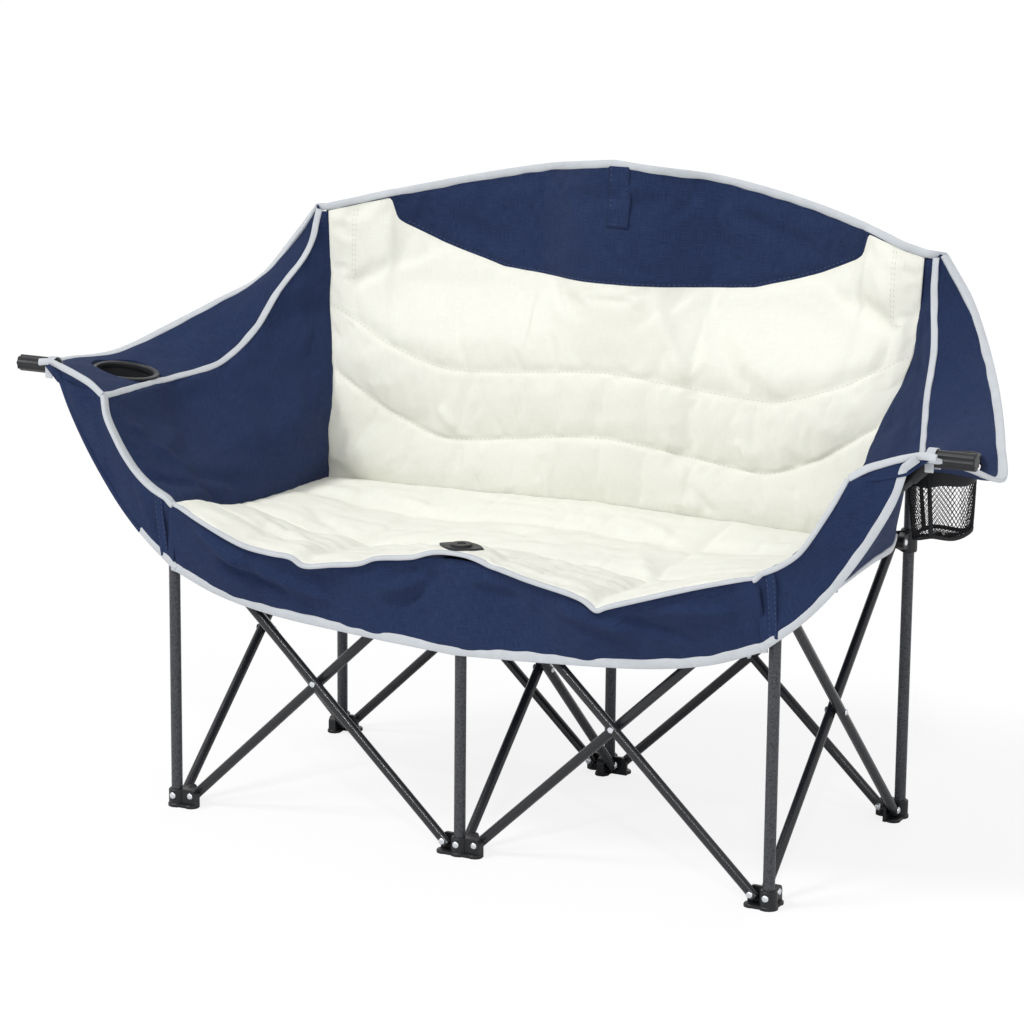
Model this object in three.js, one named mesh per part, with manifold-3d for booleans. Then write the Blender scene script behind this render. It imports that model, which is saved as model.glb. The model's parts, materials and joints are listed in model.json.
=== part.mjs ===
// Folding camping loveseat: six posts on moulded feet, joined by seven scissor pairs of steel tube,
// carrying a padded two-seat sling with a high back and two arms with cup holders.
// Millimetres, +Z up, +X to the sitter's left hand, the sitter faces -Y, feet on z = 0.

import * as THREE from 'three';
import { mergeVertices } from 'three/addons/utils/BufferGeometryUtils.js';
import Module from 'manifold-3d';

const wasm = await Module();
wasm.setup();

// Driving dimensions of the folding frame
const postPitch = 460;
const pivotReach = 24;
const footPivotHeight = 17;
const hubPivotHeight = 405;
const postDiameter = 16;
const postWall = 1;
const tubeDiameter = 14;
const tubeEndChamfer = 1.5;
const tubeOverhang = 8;
const layerClearance = 0.4;
const frontPostGap = 1;
const cornerPostHeight = 800;
const centrePostHeight = 890;
const fitClearance = 0.35;
const cutOverrun = 2;

// Pins and rivets
const pinDiameter = 5;
const pinClearance = 0.3;
const headDiameter = 9.5;
const headHeight = 2.2;

// Moulded feet and hubs
const housingDiameter = 24;
const footPadThickness = 5;
const footPadEdge = 1.2;
const footHeight = 26;
const footFloor = 3;
const earRadius = 9.5;
const backCheekThickness = 5;
const frontCheekThickness = 12;
const rearHubDepth = 18;
const rearHubRise = 15;
const hubCrown = 1.4;
const frontHubDepth = 22;
const frontHubRise = 0.5;
const guideRodDiameter = 13;
const guideRodLength = 212;
const reliefLength = 60;
const reliefClearance = 0.6;

// Arm ends
const armTipHeight = 618;
const armCapDiameter = 23;
const armCapLength = 66;
const armCapHeel = 10.175;
const armCapBevel = 1.5;
const armCapRib = 1.2;
const armSocketDiameter = 18.4;
const armSocketLength = 30;
const armStrapWidth = 12;
const armStrapThickness = 1.6;
const armStrapInset = 2;
const armStrapDrop = 16;

// Padded sling
const seatPadThickness = 10;
const backPadThickness = 12;
const backPadAtPost = 5;
const sidePadThickness = 7;
const armPadThickness = 9;
const sheetThickness = 2.5;
const seamGap = 0.4;
const sideSeamGap = 1.6;
const clothLap = 5;
const clothGap = 2;
const seatSag = 14;
const quiltPuff = 5;
const backRise = 496;
const crestRise = 102;
const postMargin = 16;
const pocketWall = 2.5;
const pocketRoot = 6;
const cornerPocketDepth = 86;
const centrePocketDepth = 76;

// Seat grommet over the front centre hub
const grommetLength = 68;
const grommetDepth = 46;
const grommetThickness = 3;
const grommetRingDiameter = 30;
const grommetRingHeight = 3;
const grommetSeatHeight = 430;
const stemDiameter = 12;
const stemRise = 5;

// Cup holders
const cupRingDiameter = 101;
const cupRingWidth = 9;
const cupRingThickness = 4;
const cupTilt = 8;
const cupPouchDiameter = 94;
const cupPouchDepth = 104;
const cupPouchWall = 1.6;
const cupPouchBaseShare = 0.82;

// Facets round each kind of piece
const postSides = 12;
const tubeSides = 12;
const pinSides = 8;
const earSteps = 4;
const ringSides = 24;
const ribCount = 8;
const strapSteps = 6;
const grommetSteps = 10;

// Counts of columns, rows and channels in the soft pieces
const seatChannels = 3;
const seatRows = 6;
const backRows = 12;
const ridgeColumns = 12;
const sideRows = 7;
const armRows = 4;
const apronRows = 3;
const gussetColumns = 8;
const gussetRows = 3;
const edgeFullness = 3;
const armTaperShare = 0.6;
const crestReachShare = 1.07;

// Shares of a rivet head's radius and height at the foot of its dome
const domeShoulderShare = 0.78;
const domeRiseShare = 0.7;
const rivetSeatShare = 0.97;
const pinEmbedShare = 0.25;

const halfPitch = postPitch / 2;
const postRadius = postDiameter / 2;
const tubeRadius = tubeDiameter / 2;
const pinRadius = pinDiameter / 2;
const layerOffset = tubeDiameter + layerClearance;
const hubRise = hubPivotHeight - footPivotHeight;
const pairSpan = postPitch - 2 * pivotReach;
const tubeSlope = Math.atan2(hubRise, pairSpan);
const armRise = armTipHeight - hubPivotHeight;
// Where the axis of a long tube meets that of its arm cap, and where the cap starts
const armElbowReach = postPitch - pivotReach + armRise / Math.tan(tubeSlope);
const armInnerEnd = armElbowReach - armCapHeel;

const finishes = {
  paint: new THREE.MeshStandardMaterial({ color: 0x2a2c30, roughness: 0.42, metalness: 0.55 }),
  plastic: new THREE.MeshStandardMaterial({ color: 0x17181a, roughness: 0.5, metalness: 0 }),
  steel: new THREE.MeshStandardMaterial({ color: 0xd8dde0, roughness: 0.28, metalness: 1 }),
  navy: new THREE.MeshStandardMaterial({ color: 0x2c3b5e, roughness: 0.85, metalness: 0 }),
  cream: new THREE.MeshStandardMaterial({ color: 0xf3f0e4, roughness: 0.85, metalness: 0 }),
  webbing: new THREE.MeshStandardMaterial({ color: 0xc9d0d3, roughness: 0.8, metalness: 0 }),
  net: new THREE.MeshStandardMaterial({ color: 0x101114, roughness: 0.9, metalness: 0 }),
};

const loveseat = new THREE.Group();

function addPiece(name, geometry, finish) {
  const mesh = new THREE.Mesh(geometry, finish);
  mesh.name = name;
  loveseat.add(mesh);
}

// A closed three.js geometry as a solid that can be joined and cut
function toSolid(geometry) {
  const bare = geometry.clone();
  for (const attribute of ['normal', 'uv']) {
    bare.deleteAttribute(attribute);
  }
  const welded = mergeVertices(bare);
  const mesh = new wasm.Mesh({
    numProp: 3,
    vertProperties: new Float32Array(welded.attributes.position.array),
    triVerts: new Uint32Array(welded.index.array),
  });
  return new wasm.Manifold(mesh);
}

function toGeometry(solid) {
  const { vertProperties, triVerts, numProp } = solid.getMesh();
  const positions = new Float32Array((vertProperties.length / numProp) * 3);
  for (let i = 0; i < positions.length / 3; i += 1) {
    positions.set(vertProperties.subarray(i * numProp, i * numProp + 3), i * 3);
  }
  const geometry = new THREE.BufferGeometry();
  geometry.setAttribute('position', new THREE.BufferAttribute(positions, 3));
  geometry.setIndex(new THREE.BufferAttribute(new Uint32Array(triVerts), 1));
  geometry.computeVertexNormals();
  return geometry;
}

function placed(geometry, position, direction) {
  const up = new THREE.Vector3(0, 1, 0);
  const turn = new THREE.Quaternion().setFromUnitVectors(up, direction.clone().normalize());
  return geometry.applyQuaternion(turn).translate(position.x, position.y, position.z);
}

// A solid of revolution whose profile is [radius, height] pairs, standing on a point along a direction
function turned(profile, sides, position, direction) {
  const points = profile.map(([radius, height]) => new THREE.Vector2(radius, height));
  return placed(new THREE.LatheGeometry(points, sides), position, direction);
}

function rod(radius, from, to, sides = pinSides) {
  const length = from.distanceTo(to);
  const profile = [[0, 0], [radius, 0], [radius, length], [0, length]];
  return toSolid(turned(profile, sides, from, to.clone().sub(from)));
}

// A shallow domed rivet head that stands on a point
function rivetHead(position, direction) {
  const radius = headDiameter / 2;
  const profile = [
    [0, 0],
    [radius, 0],
    [radius * domeShoulderShare, headHeight * domeRiseShare],
    [0, headHeight],
  ];
  return toSolid(turned(profile, pinSides, position, direction));
}

// A pin with a head on each end that has room for one. The heads' inner faces are span apart.
function headedPin(start, end, headAtStart) {
  const along = end.clone().sub(start).normalize();
  const root = start.clone().addScaledVector(along, headAtStart ? -headHeight / 2 : 0);
  const tip = end.clone().addScaledVector(along, headHeight / 2);
  const solids = [rod(pinRadius, root, tip), rivetHead(end, along)];
  if (headAtStart) {
    solids.push(rivetHead(start, along.clone().negate()));
  }
  return joined(solids);
}

function slab(width, depth, height, centre) {
  const box = new THREE.BoxGeometry(width, depth, height);
  return toSolid(box.translate(centre.x, centre.y, centre.z));
}

function joined(solids) {
  return solids.reduce((whole, next) => whole.add(next));
}

// The posts: their place on the plan, their top, and the arms of their foot and hub.
// An arm points at the neighbouring post. Its tube runs in the outer layer, in the plane of the
// posts, or in the inner layer, one tube behind that plane.
const left = new THREE.Vector3(-1, 0, 0);
const right = new THREE.Vector3(1, 0, 0);
const front = new THREE.Vector3(0, -1, 0);
const rear = new THREE.Vector3(0, 1, 0);
const upward = new THREE.Vector3(0, 0, 1);

const posts = {
  front_left: { x: -postPitch, y: -halfPitch },
  front_centre: { x: 0, y: -halfPitch },
  front_right: { x: postPitch, y: -halfPitch },
  rear_left: { x: -postPitch, y: halfPitch, height: cornerPostHeight },
  rear_centre: { x: 0, y: halfPitch, height: centrePostHeight },
  rear_right: { x: postPitch, y: halfPitch, height: cornerPostHeight },
};

// Each scissor pair: its two posts, its outward side, and which of its tubes is in the outer layer
const pairs = {
  front_left: { from: 'front_centre', to: 'front_left', outward: front, firstIsOuter: true },
  front_right: { from: 'front_centre', to: 'front_right', outward: front, firstIsOuter: false },
  rear_left: { from: 'rear_centre', to: 'rear_left', outward: rear, firstIsOuter: false },
  rear_right: { from: 'rear_centre', to: 'rear_right', outward: rear, firstIsOuter: true },
  side_left: { from: 'front_left', to: 'rear_left', outward: left, firstIsOuter: true },
  side_right: { from: 'front_right', to: 'rear_right', outward: right, firstIsOuter: false },
  centre: { from: 'front_centre', to: 'rear_centre', outward: left, firstIsOuter: true },
};

function postAxis(name, height) {
  return new THREE.Vector3(posts[name].x, posts[name].y, height);
}

function towards(from, to) {
  return postAxis(to, 0).sub(postAxis(from, 0)).normalize();
}

function layerShift(outward, isOuter) {
  return outward.clone().multiplyScalar(isOuter ? 0 : -layerOffset);
}

// A round tube along its axis with chamfered ends and a cross hole for each pin
function pinnedTube(start, end, pinPoints, pinAxis) {
  const length = start.distanceTo(end);
  const inset = tubeRadius - tubeEndChamfer;
  const profile = [
    [0, 0],
    [inset, 0],
    [tubeRadius, tubeEndChamfer],
    [tubeRadius, length - tubeEndChamfer],
    [inset, length],
    [0, length],
  ];
  let tube = toSolid(turned(profile, tubeSides, start, end.clone().sub(start)));
  const half = pinAxis.clone().multiplyScalar(tubeRadius + cutOverrun);
  for (const point of pinPoints) {
    const hole = rod(pinRadius + pinClearance, point.clone().sub(half), point.clone().add(half));
    tube = tube.subtract(hole);
  }
  return tube;
}

function pairTubes(name, pair) {
  const along = towards(pair.from, pair.to);
  const makeTube = (lowPost, highPost, isOuter, run) => {
    const shift = layerShift(pair.outward, isOuter);
    const direction = towards(lowPost, highPost);
    const low = postAxis(lowPost, footPivotHeight).addScaledVector(direction, pivotReach).add(shift);
    const high = postAxis(highPost, hubPivotHeight).addScaledVector(direction, -pivotReach).add(shift);
    const axis = high.clone().sub(low).normalize();
    const start = low.clone().addScaledVector(axis, -tubeOverhang);
    const end = high.clone().addScaledVector(axis, run);
    const crossing = low.clone().lerp(high, 0.5);
    return pinnedTube(start, end, [low, crossing, high], pair.outward);
  };
  const isLong = name === 'front_left' || name === 'front_right';
  const firstName = isLong ? `${name}_long_tube` : `${name}_tube_from_${lowEnd(pair.from, pair.to)}`;
  const secondName = isLong ? `${name}_short_tube` : `${name}_tube_from_${lowEnd(pair.to, pair.from)}`;
  const firstRun = isLong ? armRun() : tubeOverhang;
  const first = makeTube(pair.from, pair.to, pair.firstIsOuter, firstRun);
  const second = makeTube(pair.to, pair.from, !pair.firstIsOuter, tubeOverhang);
  addPiece(firstName, toGeometry(first), finishes.paint);
  addPiece(secondName, toGeometry(second), finishes.paint);
  addPiece(`${name}_crossing_rivet`, toGeometry(crossingRivet(pair, along)), finishes.steel);
}

function lowEnd(post, other) {
  const [row, place] = post.split('_');
  const [otherRow] = other.split('_');
  return row === otherRow ? place : row;
}

// The long front tubes run on past their hub until they meet the axis of the arm cap
function armRun() {
  return armRise / Math.sin(tubeSlope) - armCapDiameter / 2;
}

// A rivet through both tubes of a pair, with a head on each outside face
function crossingRivet(pair, along) {
  const middle = postAxis(pair.from, footPivotHeight + hubRise / 2).addScaledVector(along, halfPitch);
  const beyondTube = tubeRadius + pinClearance;
  const outerFace = middle.clone().addScaledVector(pair.outward, beyondTube);
  const innerFace = middle.clone().addScaledVector(pair.outward, -layerOffset - beyondTube);
  return headedPin(innerFace, outerFace, true);
}

// The arms of a foot or hub: one for each pair that its post belongs to
function armsOf(postName, isFoot) {
  const arms = [];
  for (const pair of Object.values(pairs)) {
    if (pair.from === postName || pair.to === postName) {
      const isFrom = pair.from === postName;
      const direction = towards(postName, isFrom ? pair.to : pair.from);
      const tubeIsFirst = isFoot === isFrom;
      const isOuter = tubeIsFirst ? pair.firstIsOuter : !pair.firstIsOuter;
      arms.push({ direction, outward: pair.outward, isOuter });
    }
  }
  return arms;
}

// The cheek that a tube bears on, a flat ear with a round end that reaches from the post to the pin
function cheek(postName, arm, pivotHeight, bottom, rootTop) {
  const near = tubeRadius + layerClearance;
  const inner = arm.isOuter ? near : layerOffset - near;
  const thickness = arm.isOuter ? backCheekThickness : frontCheekThickness;
  const plate = new THREE.ExtrudeGeometry(cheekOutline(pivotHeight, bottom, rootTop), {
    depth: thickness,
    bevelEnabled: false,
    curveSegments: earSteps,
  });
  const start = arm.isOuter ? -(near + thickness) : -inner;
  const basis = new THREE.Matrix4().makeBasis(arm.direction, upward, arm.direction.clone().cross(upward));
  const facing = arm.direction.clone().cross(upward).dot(arm.outward);
  const shift = facing > 0 ? start : -start - thickness;
  plate.translate(0, 0, shift);
  plate.applyMatrix4(basis);
  const origin = postAxis(postName, 0);
  return toSolid(plate.translate(origin.x, origin.y, origin.z));
}

function cheekOutline(pivotHeight, bottom, rootTop) {
  const outline = new THREE.Shape();
  const standsOnPad = bottom === 0;
  outline.moveTo(0, bottom);
  if (standsOnPad) {
    outline.lineTo(pivotReach + earRadius, bottom);
  } else {
    outline.lineTo(pivotReach, pivotHeight - earRadius);
  }
  outline.absarc(pivotReach, pivotHeight, earRadius, standsOnPad ? 0 : -Math.PI / 2, Math.PI / 2);
  outline.lineTo(0, rootTop);
  outline.closePath();
  return outline;
}

// The pin of an arm with its heads: through the tube beside the cheek
function armPin(postName, arm, pivotHeight) {
  const pivot = postAxis(postName, pivotHeight).addScaledVector(arm.direction, pivotReach);
  const inward = arm.outward.clone().negate();
  const near = tubeRadius + layerClearance;
  const beyondTube = tubeRadius + pinClearance;
  if (arm.isOuter) {
    const root = pivot.clone().addScaledVector(inward, near + backCheekThickness / 2);
    return headedPin(root, pivot.addScaledVector(arm.outward, beyondTube), false);
  }
  const cheekDepth = layerOffset - near - frontCheekThickness + headHeight * pinEmbedShare;
  const cheekFace = pivot.clone().addScaledVector(inward, cheekDepth);
  return headedPin(cheekFace, pivot.addScaledVector(inward, layerOffset + beyondTube), true);
}

function footArmPad(postName, arm) {
  const radius = earRadius + footPadEdge;
  const centre = postAxis(postName, 0).addScaledVector(arm.direction, pivotReach);
  const reachEnd = turned(padProfile(radius), postSides, centre, upward);
  const width = Math.abs(arm.direction.x) > 0 ? pivotReach : 2 * (radius - footPadEdge);
  const depth = Math.abs(arm.direction.x) > 0 ? 2 * (radius - footPadEdge) : pivotReach;
  const middle = postAxis(postName, footPadThickness / 2).addScaledVector(arm.direction, pivotReach / 2);
  return joined([toSolid(reachEnd), slab(width, depth, footPadThickness, middle)]);
}

function padProfile(radius) {
  return [
    [0, 0],
    [radius, 0],
    [radius, footPadThickness - footPadEdge],
    [radius - footPadEdge, footPadThickness],
    [0, footPadThickness],
  ];
}

// A moulded foot: a pad on the ground, a socket for the post and a cheek for each tube
function makeFoot(name) {
  const arms = armsOf(name, true);
  const housingRadius = housingDiameter / 2;
  const housing = [
    [0, 0],
    [housingRadius, 0],
    [housingRadius, footHeight - hubCrown],
    [housingRadius - hubCrown, footHeight],
    [0, footHeight],
  ];
  const ground = postAxis(name, 0);
  let foot = toSolid(turned(housing, postSides, ground, upward));
  const padOutline = padProfile(housingRadius + footPadEdge);
  foot = foot.add(toSolid(turned(padOutline, postSides, ground, upward)));
  for (const arm of arms) {
    foot = foot.add(footArmPad(name, arm));
    foot = foot.add(cheek(name, arm, footPivotHeight, 0, footHeight));
  }
  const socketTop = postAxis(name, footHeight + cutOverrun);
  foot = foot.subtract(
    rod(postRadius + fitClearance, postAxis(name, footFloor), socketTop, postSides),
  );
  for (const arm of arms) {
    foot = foot.add(armPin(name, arm, footPivotHeight));
  }
  const outward = name.startsWith('front') ? front : rear;
  const rivetSeat = postAxis(name, footPivotHeight);
  rivetSeat.addScaledVector(outward, housingRadius * rivetSeatShare);
  foot = foot.add(rivetHead(rivetSeat, outward));
  addPiece(`${name}_foot`, toGeometry(foot), finishes.plastic);
}

// The room above a front corner hub that its long tube passes through as it runs on to the arm
function longTubeRelief(name, arm) {
  const side = arm.direction.clone().negate();
  const [run, climb] = [Math.cos(tubeSlope), Math.sin(tubeSlope)];
  const axis = side.clone().multiplyScalar(run).addScaledVector(upward, climb);
  const above = side.clone().multiplyScalar(-climb).addScaledVector(upward, run);
  const pivot = postAxis(name, hubPivotHeight).addScaledVector(arm.direction, pivotReach);
  const centre = pivot.add(layerShift(arm.outward, arm.isOuter));
  centre.addScaledVector(axis, reliefLength / 2);
  centre.addScaledVector(above, reliefLength / 2 - tubeRadius - reliefClearance);
  const room = new THREE.BoxGeometry(reliefLength, tubeDiameter + 2 * reliefClearance, reliefLength);
  const basis = new THREE.Matrix4().makeBasis(axis, above.clone().cross(axis), above);
  return toSolid(room.applyMatrix4(basis.setPosition(centre)));
}

// A hub: a collar round the post at seat level, with a cheek for each tube that ends on it.
// A rear hub slides on the outside of its tall post. A front hub caps its short post and slides
// in it on a guide rod.
function makeHub(name) {
  const isRear = name.startsWith('rear');
  const arms = armsOf(name, false);
  const housingRadius = housingDiameter / 2;
  const bottom = hubPivotHeight - (isRear ? rearHubDepth : frontHubDepth);
  const top = hubPivotHeight + (isRear ? rearHubRise : frontHubRise);
  const height = top - bottom;
  const collar = [
    [0, 0],
    [housingRadius - hubCrown, 0],
    [housingRadius, hubCrown],
    [housingRadius, height - hubCrown],
    [housingRadius - hubCrown, height],
    [0, height],
  ];
  let hub = toSolid(turned(collar, postSides, postAxis(name, bottom), upward));
  for (const arm of arms) {
    hub = hub.add(cheek(name, arm, hubPivotHeight, bottom, top));
  }
  if (isRear) {
    const bore = rod(
      postRadius + fitClearance,
      postAxis(name, bottom - cutOverrun),
      postAxis(name, top + cutOverrun),
      postSides,
    );
    hub = hub.subtract(bore);
  } else {
    const guideFoot = postAxis(name, bottom - guideRodLength);
    hub = hub.add(rod(guideRodDiameter / 2, guideFoot, postAxis(name, top), postSides));
  }
  const longArm = arms.find((arm) => arm.outward === front);
  if (name === 'front_left' || name === 'front_right') {
    hub = hub.subtract(longTubeRelief(name, longArm));
  }
  for (const arm of arms) {
    hub = hub.add(armPin(name, arm, hubPivotHeight));
  }
  if (name === 'front_centre') {
    const stemTop = postAxis(name, grommetSeatHeight + stemRise);
    hub = hub.add(rod(stemDiameter / 2, postAxis(name, bottom), stemTop, postSides));
  }
  addPiece(`${name}_hub`, toGeometry(hub), finishes.plastic);
}

// A post: an open round tube from the floor of its foot to its top
function makePost(name) {
  const height = posts[name].height ?? hubPivotHeight - frontHubDepth - frontPostGap;
  const bottom = footFloor + fitClearance;
  const length = height - bottom;
  const bore = postRadius - postWall;
  const profile = [
    [bore, 0],
    [postRadius, 0],
    [postRadius, length],
    [bore, length],
    [bore, 0],
  ];
  addPiece(`${name}_post`, turned(profile, postSides, postAxis(name, bottom), upward), finishes.paint);
}

// The arm cap: a ribbed barrel along X whose inner end has a socket for the end of a long tube
function makeArmCap(side, word) {
  const layer = armLayer(word);
  const elbow = new THREE.Vector3(side * armElbowReach, layer, armTipHeight);
  const along = new THREE.Vector3(side * Math.cos(tubeSlope), 0, Math.sin(tubeSlope));
  const barrel = new THREE.ExtrudeGeometry(ribbedOutline(), {
    depth: armCapLength - 2 * armCapBevel,
    bevelThickness: armCapBevel,
    bevelSize: armCapBevel,
    bevelOffset: -armCapBevel,
    bevelSegments: 1,
  });
  barrel.translate(0, 0, armCapBevel);
  const outward = new THREE.Vector3(side, 0, 0);
  const basis = new THREE.Matrix4().makeBasis(upward, outward.clone().cross(upward), outward);
  barrel.applyMatrix4(basis.setPosition(side * armInnerEnd, layer, armTipHeight));
  const mouth = elbow.clone().addScaledVector(along, -(armCapDiameter / 2 + armSocketLength));
  const floor = elbow.clone().addScaledVector(along, fitClearance - armCapDiameter / 2);
  const beyond = mouth.clone().addScaledVector(along, -cutOverrun);
  const cap = toSolid(barrel)
    .add(rod(armSocketDiameter / 2, mouth, elbow, postSides))
    .subtract(rod(tubeRadius + fitClearance, beyond, floor, postSides));
  addPiece(`${word}_arm_cap`, toGeometry(cap), finishes.plastic);
}

function armLayer(word) {
  const pair = pairs[`front_${word}`];
  return -halfPitch + layerShift(pair.outward, pair.firstIsOuter).y;
}

// The barrel's section: a round with ribs, two points on each rib and two in each groove
function ribbedOutline() {
  const outline = new THREE.Shape();
  const pitch = (2 * Math.PI) / ribCount;
  const crest = armCapDiameter / 2;
  for (let rib = 0; rib < ribCount; rib += 1) {
    const levels = [crest, crest, crest - armCapRib, crest - armCapRib];
    levels.forEach((radius, step) => {
      const angle = pitch * (rib + step / levels.length);
      const x = radius * Math.cos(angle);
      const y = radius * Math.sin(angle);
      if (rib === 0 && step === 0) {
        outline.moveTo(x, y);
      } else {
        outline.lineTo(x, y);
      }
    });
  }
  outline.closePath();
  return outline;
}

// Places on the sling, as shares of the post pitch, the half depth and the rise from hub to arm.
// Beyond the corner posts they spread with the arm, whose cap starts at armEndShare past the post.
const armEndShare = 0.4174;
const armSpread = (armInnerEnd - postPitch) / armEndShare;

function slingPoint([across, along, up], side) {
  const reach = postPitch * Math.min(across, 1) + armSpread * Math.max(across - 1, 0);
  return new THREE.Vector3(side * reach, along * halfPitch, hubPivotHeight + up * armRise);
}

function seam(shares, side) {
  const curve = new THREE.CatmullRomCurve3(shares.map((share) => slingPoint(share, side)));
  return (t) => curve.getPoint(t);
}

// The seat's front and rear edges from the middle to the corner, at even steps outward
const seatFrontShares = [
  [0, -1.12, 0.117],
  [0.16, -1.125, 0.045],
  [0.32, -1.14, -0.03],
  [0.48, -1.11, -0.09],
  [0.64, -1.19, 0.01],
  [0.8, -1.23, 0.134],
  [0.959, -1.13, 0.211],
];
const seatRearShares = [
  [0, 0.77, 0.056],
  [0.162, 0.755, 0.052],
  [0.323, 0.74, 0.046],
  [0.485, 0.725, 0.042],
  [0.647, 0.72, 0.036],
  [0.808, 0.72, 0.028],
  [0.97, 0.717, 0.019],
];
const seatSideShares = [
  [0.959, -1.13, 0.211],
  [0.95, -0.87, 0.178],
  [0.95, -0.6, 0.09],
  [0.95, -0.17, 0.042],
  [0.957, 0.33, 0.033],
  [0.97, 0.717, 0.019],
];
// The front edge of a side panel, from the seat's corner up to the arm
const sideFrontShares = [
  [0.959, -1.13, 0.211],
  [1.035, -1.135, 0.29],
  [1.09, -1.13, 0.38],
  [1.13, -1.14, 0.49],
  [1.165, -1.14, 0.61],
  [1.197, -1.13, 0.73],
  [1.222, -1.087, 0.854],
];
// The seam between the back and a side, from the seat up to the corner post
const backSideShares = [
  [0.97, 0.717, 0.019],
  [0.955, 0.68, 0.35],
  [0.945, 0.69, 0.667],
  [0.963, 0.76, 0.87],
  [0.985, 0.835, 1.06],
  [1.008, 0.89, 1.258],
  [1.02, 0.92, 1.46],
  [1.063, 0.935, 1.854],
];
// The ridge between a side panel and the arm, from the back corner to the front
const ridgeShares = [
  [1.063, 0.935, 1.854],
  [1.083, 0.839, 1.582],
  [1.128, 0.63, 1.329],
  [1.154, 0.404, 1.066],
  [1.2, 0.135, 0.878],
  [1.255, -0.213, 0.826],
  [1.254, -0.435, 0.831],
  [1.246, -0.717, 0.836],
  [1.222, -1.087, 0.854],
];
// The outer edge of the wing and arm, beside the same places on the ridge
const wingEdgeShares = [
  [1.09, 0.99, 1.897],
  [1.18, 0.948, 1.638],
  [1.257, 0.817, 1.385],
  [1.333, 0.552, 1.249],
  [1.404, 0.27, 1.122],
  [1.5, -0.174, 0.96],
  [1.56, -0.5, 0.955],
  [1.46, -0.7, 0.95],
  [1.33, -1.06, 1.02],
];
// The hem of the front cloth below a side panel, beside the same places on its front edge
const gussetHemShares = [
  [0.98, -1.06, -0.26],
  [1.09, -1.06, -0.06],
  [1.17, -1.06, 0.12],
  [1.24, -1.06, 0.32],
  [1.3, -1.06, 0.52],
  [1.355, -1.06, 0.74],
  [1.39, -1.075, 0.95],
];
const apronHemShares = [
  [0, -1.06, -0.559],
  [0.33, -1.06, -0.52],
  [0.65, -1.06, -0.46],
  [0.83, -1.06, -0.38],
  [0.975, -1.06, -0.262],
];

// Where the front of the back pad lies, as shares of the half depth at even heights from the seat
const backAtCentreShares = [0.77, 0.81, 0.865, 0.915, 0.925, 0.925];
const backInBayShares = [0.72, 0.86, 0.885, 1.12, 1.217, 1.21];
// Heights of the two quilting seams above the seat, as shares of the back's rise, at even steps out
// from the middle
const lowerQuiltShares = [0.202, 0.167, 0.149, 0.212, 0.339];
const upperQuiltShares = [0.389, 0.363, 0.353, 0.407, 0.524];
// Columns of the seat, back and apron as shares of their half width, close together beside the posts
const clothColumnShares = [0, 0.036, 0.1, 0.2, 0.32, 0.45, 0.58, 0.71, 0.83, 0.91, 0.955, 1];
const crestExponent = 1.3;
const bayPeakShare = 0.535;
// Bands between the seams of the back, and how many of them from the seat up are quilted
const backBands = 3;
const quiltedBands = 2;
// The directions in which the cloths are thick, as shares of their thickness, and how they turn
const ridgeAtBackShares = [0.7, 0.5, -0.4];
const ridgeAtFrontShares = [0.7, 0, -0.7];
const armAtBackShares = [0, 0.7, -0.7];
const armTurnShare = 0.5;
const sideFrontDropShare = 0.5;
const cornerExponent = 4;
// The middle of a cup holder's rim
const cupPlaceShares = [1.36522, -0.43478, 0.88732];

// A value that runs smoothly through evenly spaced shares
function through(shares, t) {
  const curve = new THREE.CatmullRomCurve3(shares.map((share) => new THREE.Vector3(share, 0, 0)));
  return curve.getPoint(THREE.MathUtils.clamp(t, 0, 1)).x;
}

// A patch through four edges that meet at its corners
function coons(bottom, top, start, end) {
  const corners = [bottom(0), bottom(1), top(0), top(1)];
  return (u, v) => {
    const ruled = bottom(u).multiplyScalar(1 - v).addScaledVector(top(u), v);
    ruled.addScaledVector(start(v), 1 - u).addScaledVector(end(v), u);
    ruled.addScaledVector(corners[0], -(1 - u) * (1 - v)).addScaledVector(corners[1], -u * (1 - v));
    return ruled.addScaledVector(corners[2], -(1 - u) * v).addScaledVector(corners[3], -u * v);
  };
}

// A closed pad between a face and the same face moved back by an offset, over lists of u and v
function pad(us, vs, face, offset) {
  const points = [];
  for (const isBack of [false, true]) {
    for (const v of vs) {
      for (const u of us) {
        const point = face(u, v);
        points.push(isBack ? point.add(offset(u, v)) : point);
      }
    }
  }
  const row = us.length;
  const layer = row * vs.length;
  const index = [];
  const quad = (a, b, c, d) => index.push(a, b, c, a, c, d);
  for (let j = 0; j + 1 < vs.length; j += 1) {
    for (let i = 0; i + 1 < row; i += 1) {
      const k = j * row + i;
      quad(k, k + 1, k + row + 1, k + row);
      quad(layer + k, layer + k + row, layer + k + row + 1, layer + k + 1);
    }
    const first = j * row;
    const last = first + row - 1;
    quad(first, first + row, layer + first + row, layer + first);
    quad(last, layer + last, layer + last + row, last + row);
  }
  for (let i = 0; i + 1 < row; i += 1) {
    const top = layer - row + i;
    quad(i, layer + i, layer + i + 1, i + 1);
    quad(top, top + 1, layer + top + 1, layer + top);
  }
  const positions = new Float32Array(points.flatMap((point) => point.toArray()));
  const geometry = new THREE.BufferGeometry();
  geometry.setAttribute('position', new THREE.BufferAttribute(positions, 3));
  geometry.setIndex(facingOut(points, index));
  geometry.computeVertexNormals();
  return geometry;
}

function facingOut(points, index) {
  let volume = 0;
  for (let i = 0; i < index.length; i += 3) {
    const [a, b, c] = [points[index[i]], points[index[i + 1]], points[index[i + 2]]];
    volume += a.dot(b.clone().cross(c));
  }
  return volume < 0 ? index.reverse() : index;
}

function evenly(count, from = 0, to = 1) {
  return Array.from({ length: count + 1 }, (_, i) => from + ((to - from) * i) / count);
}

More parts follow.
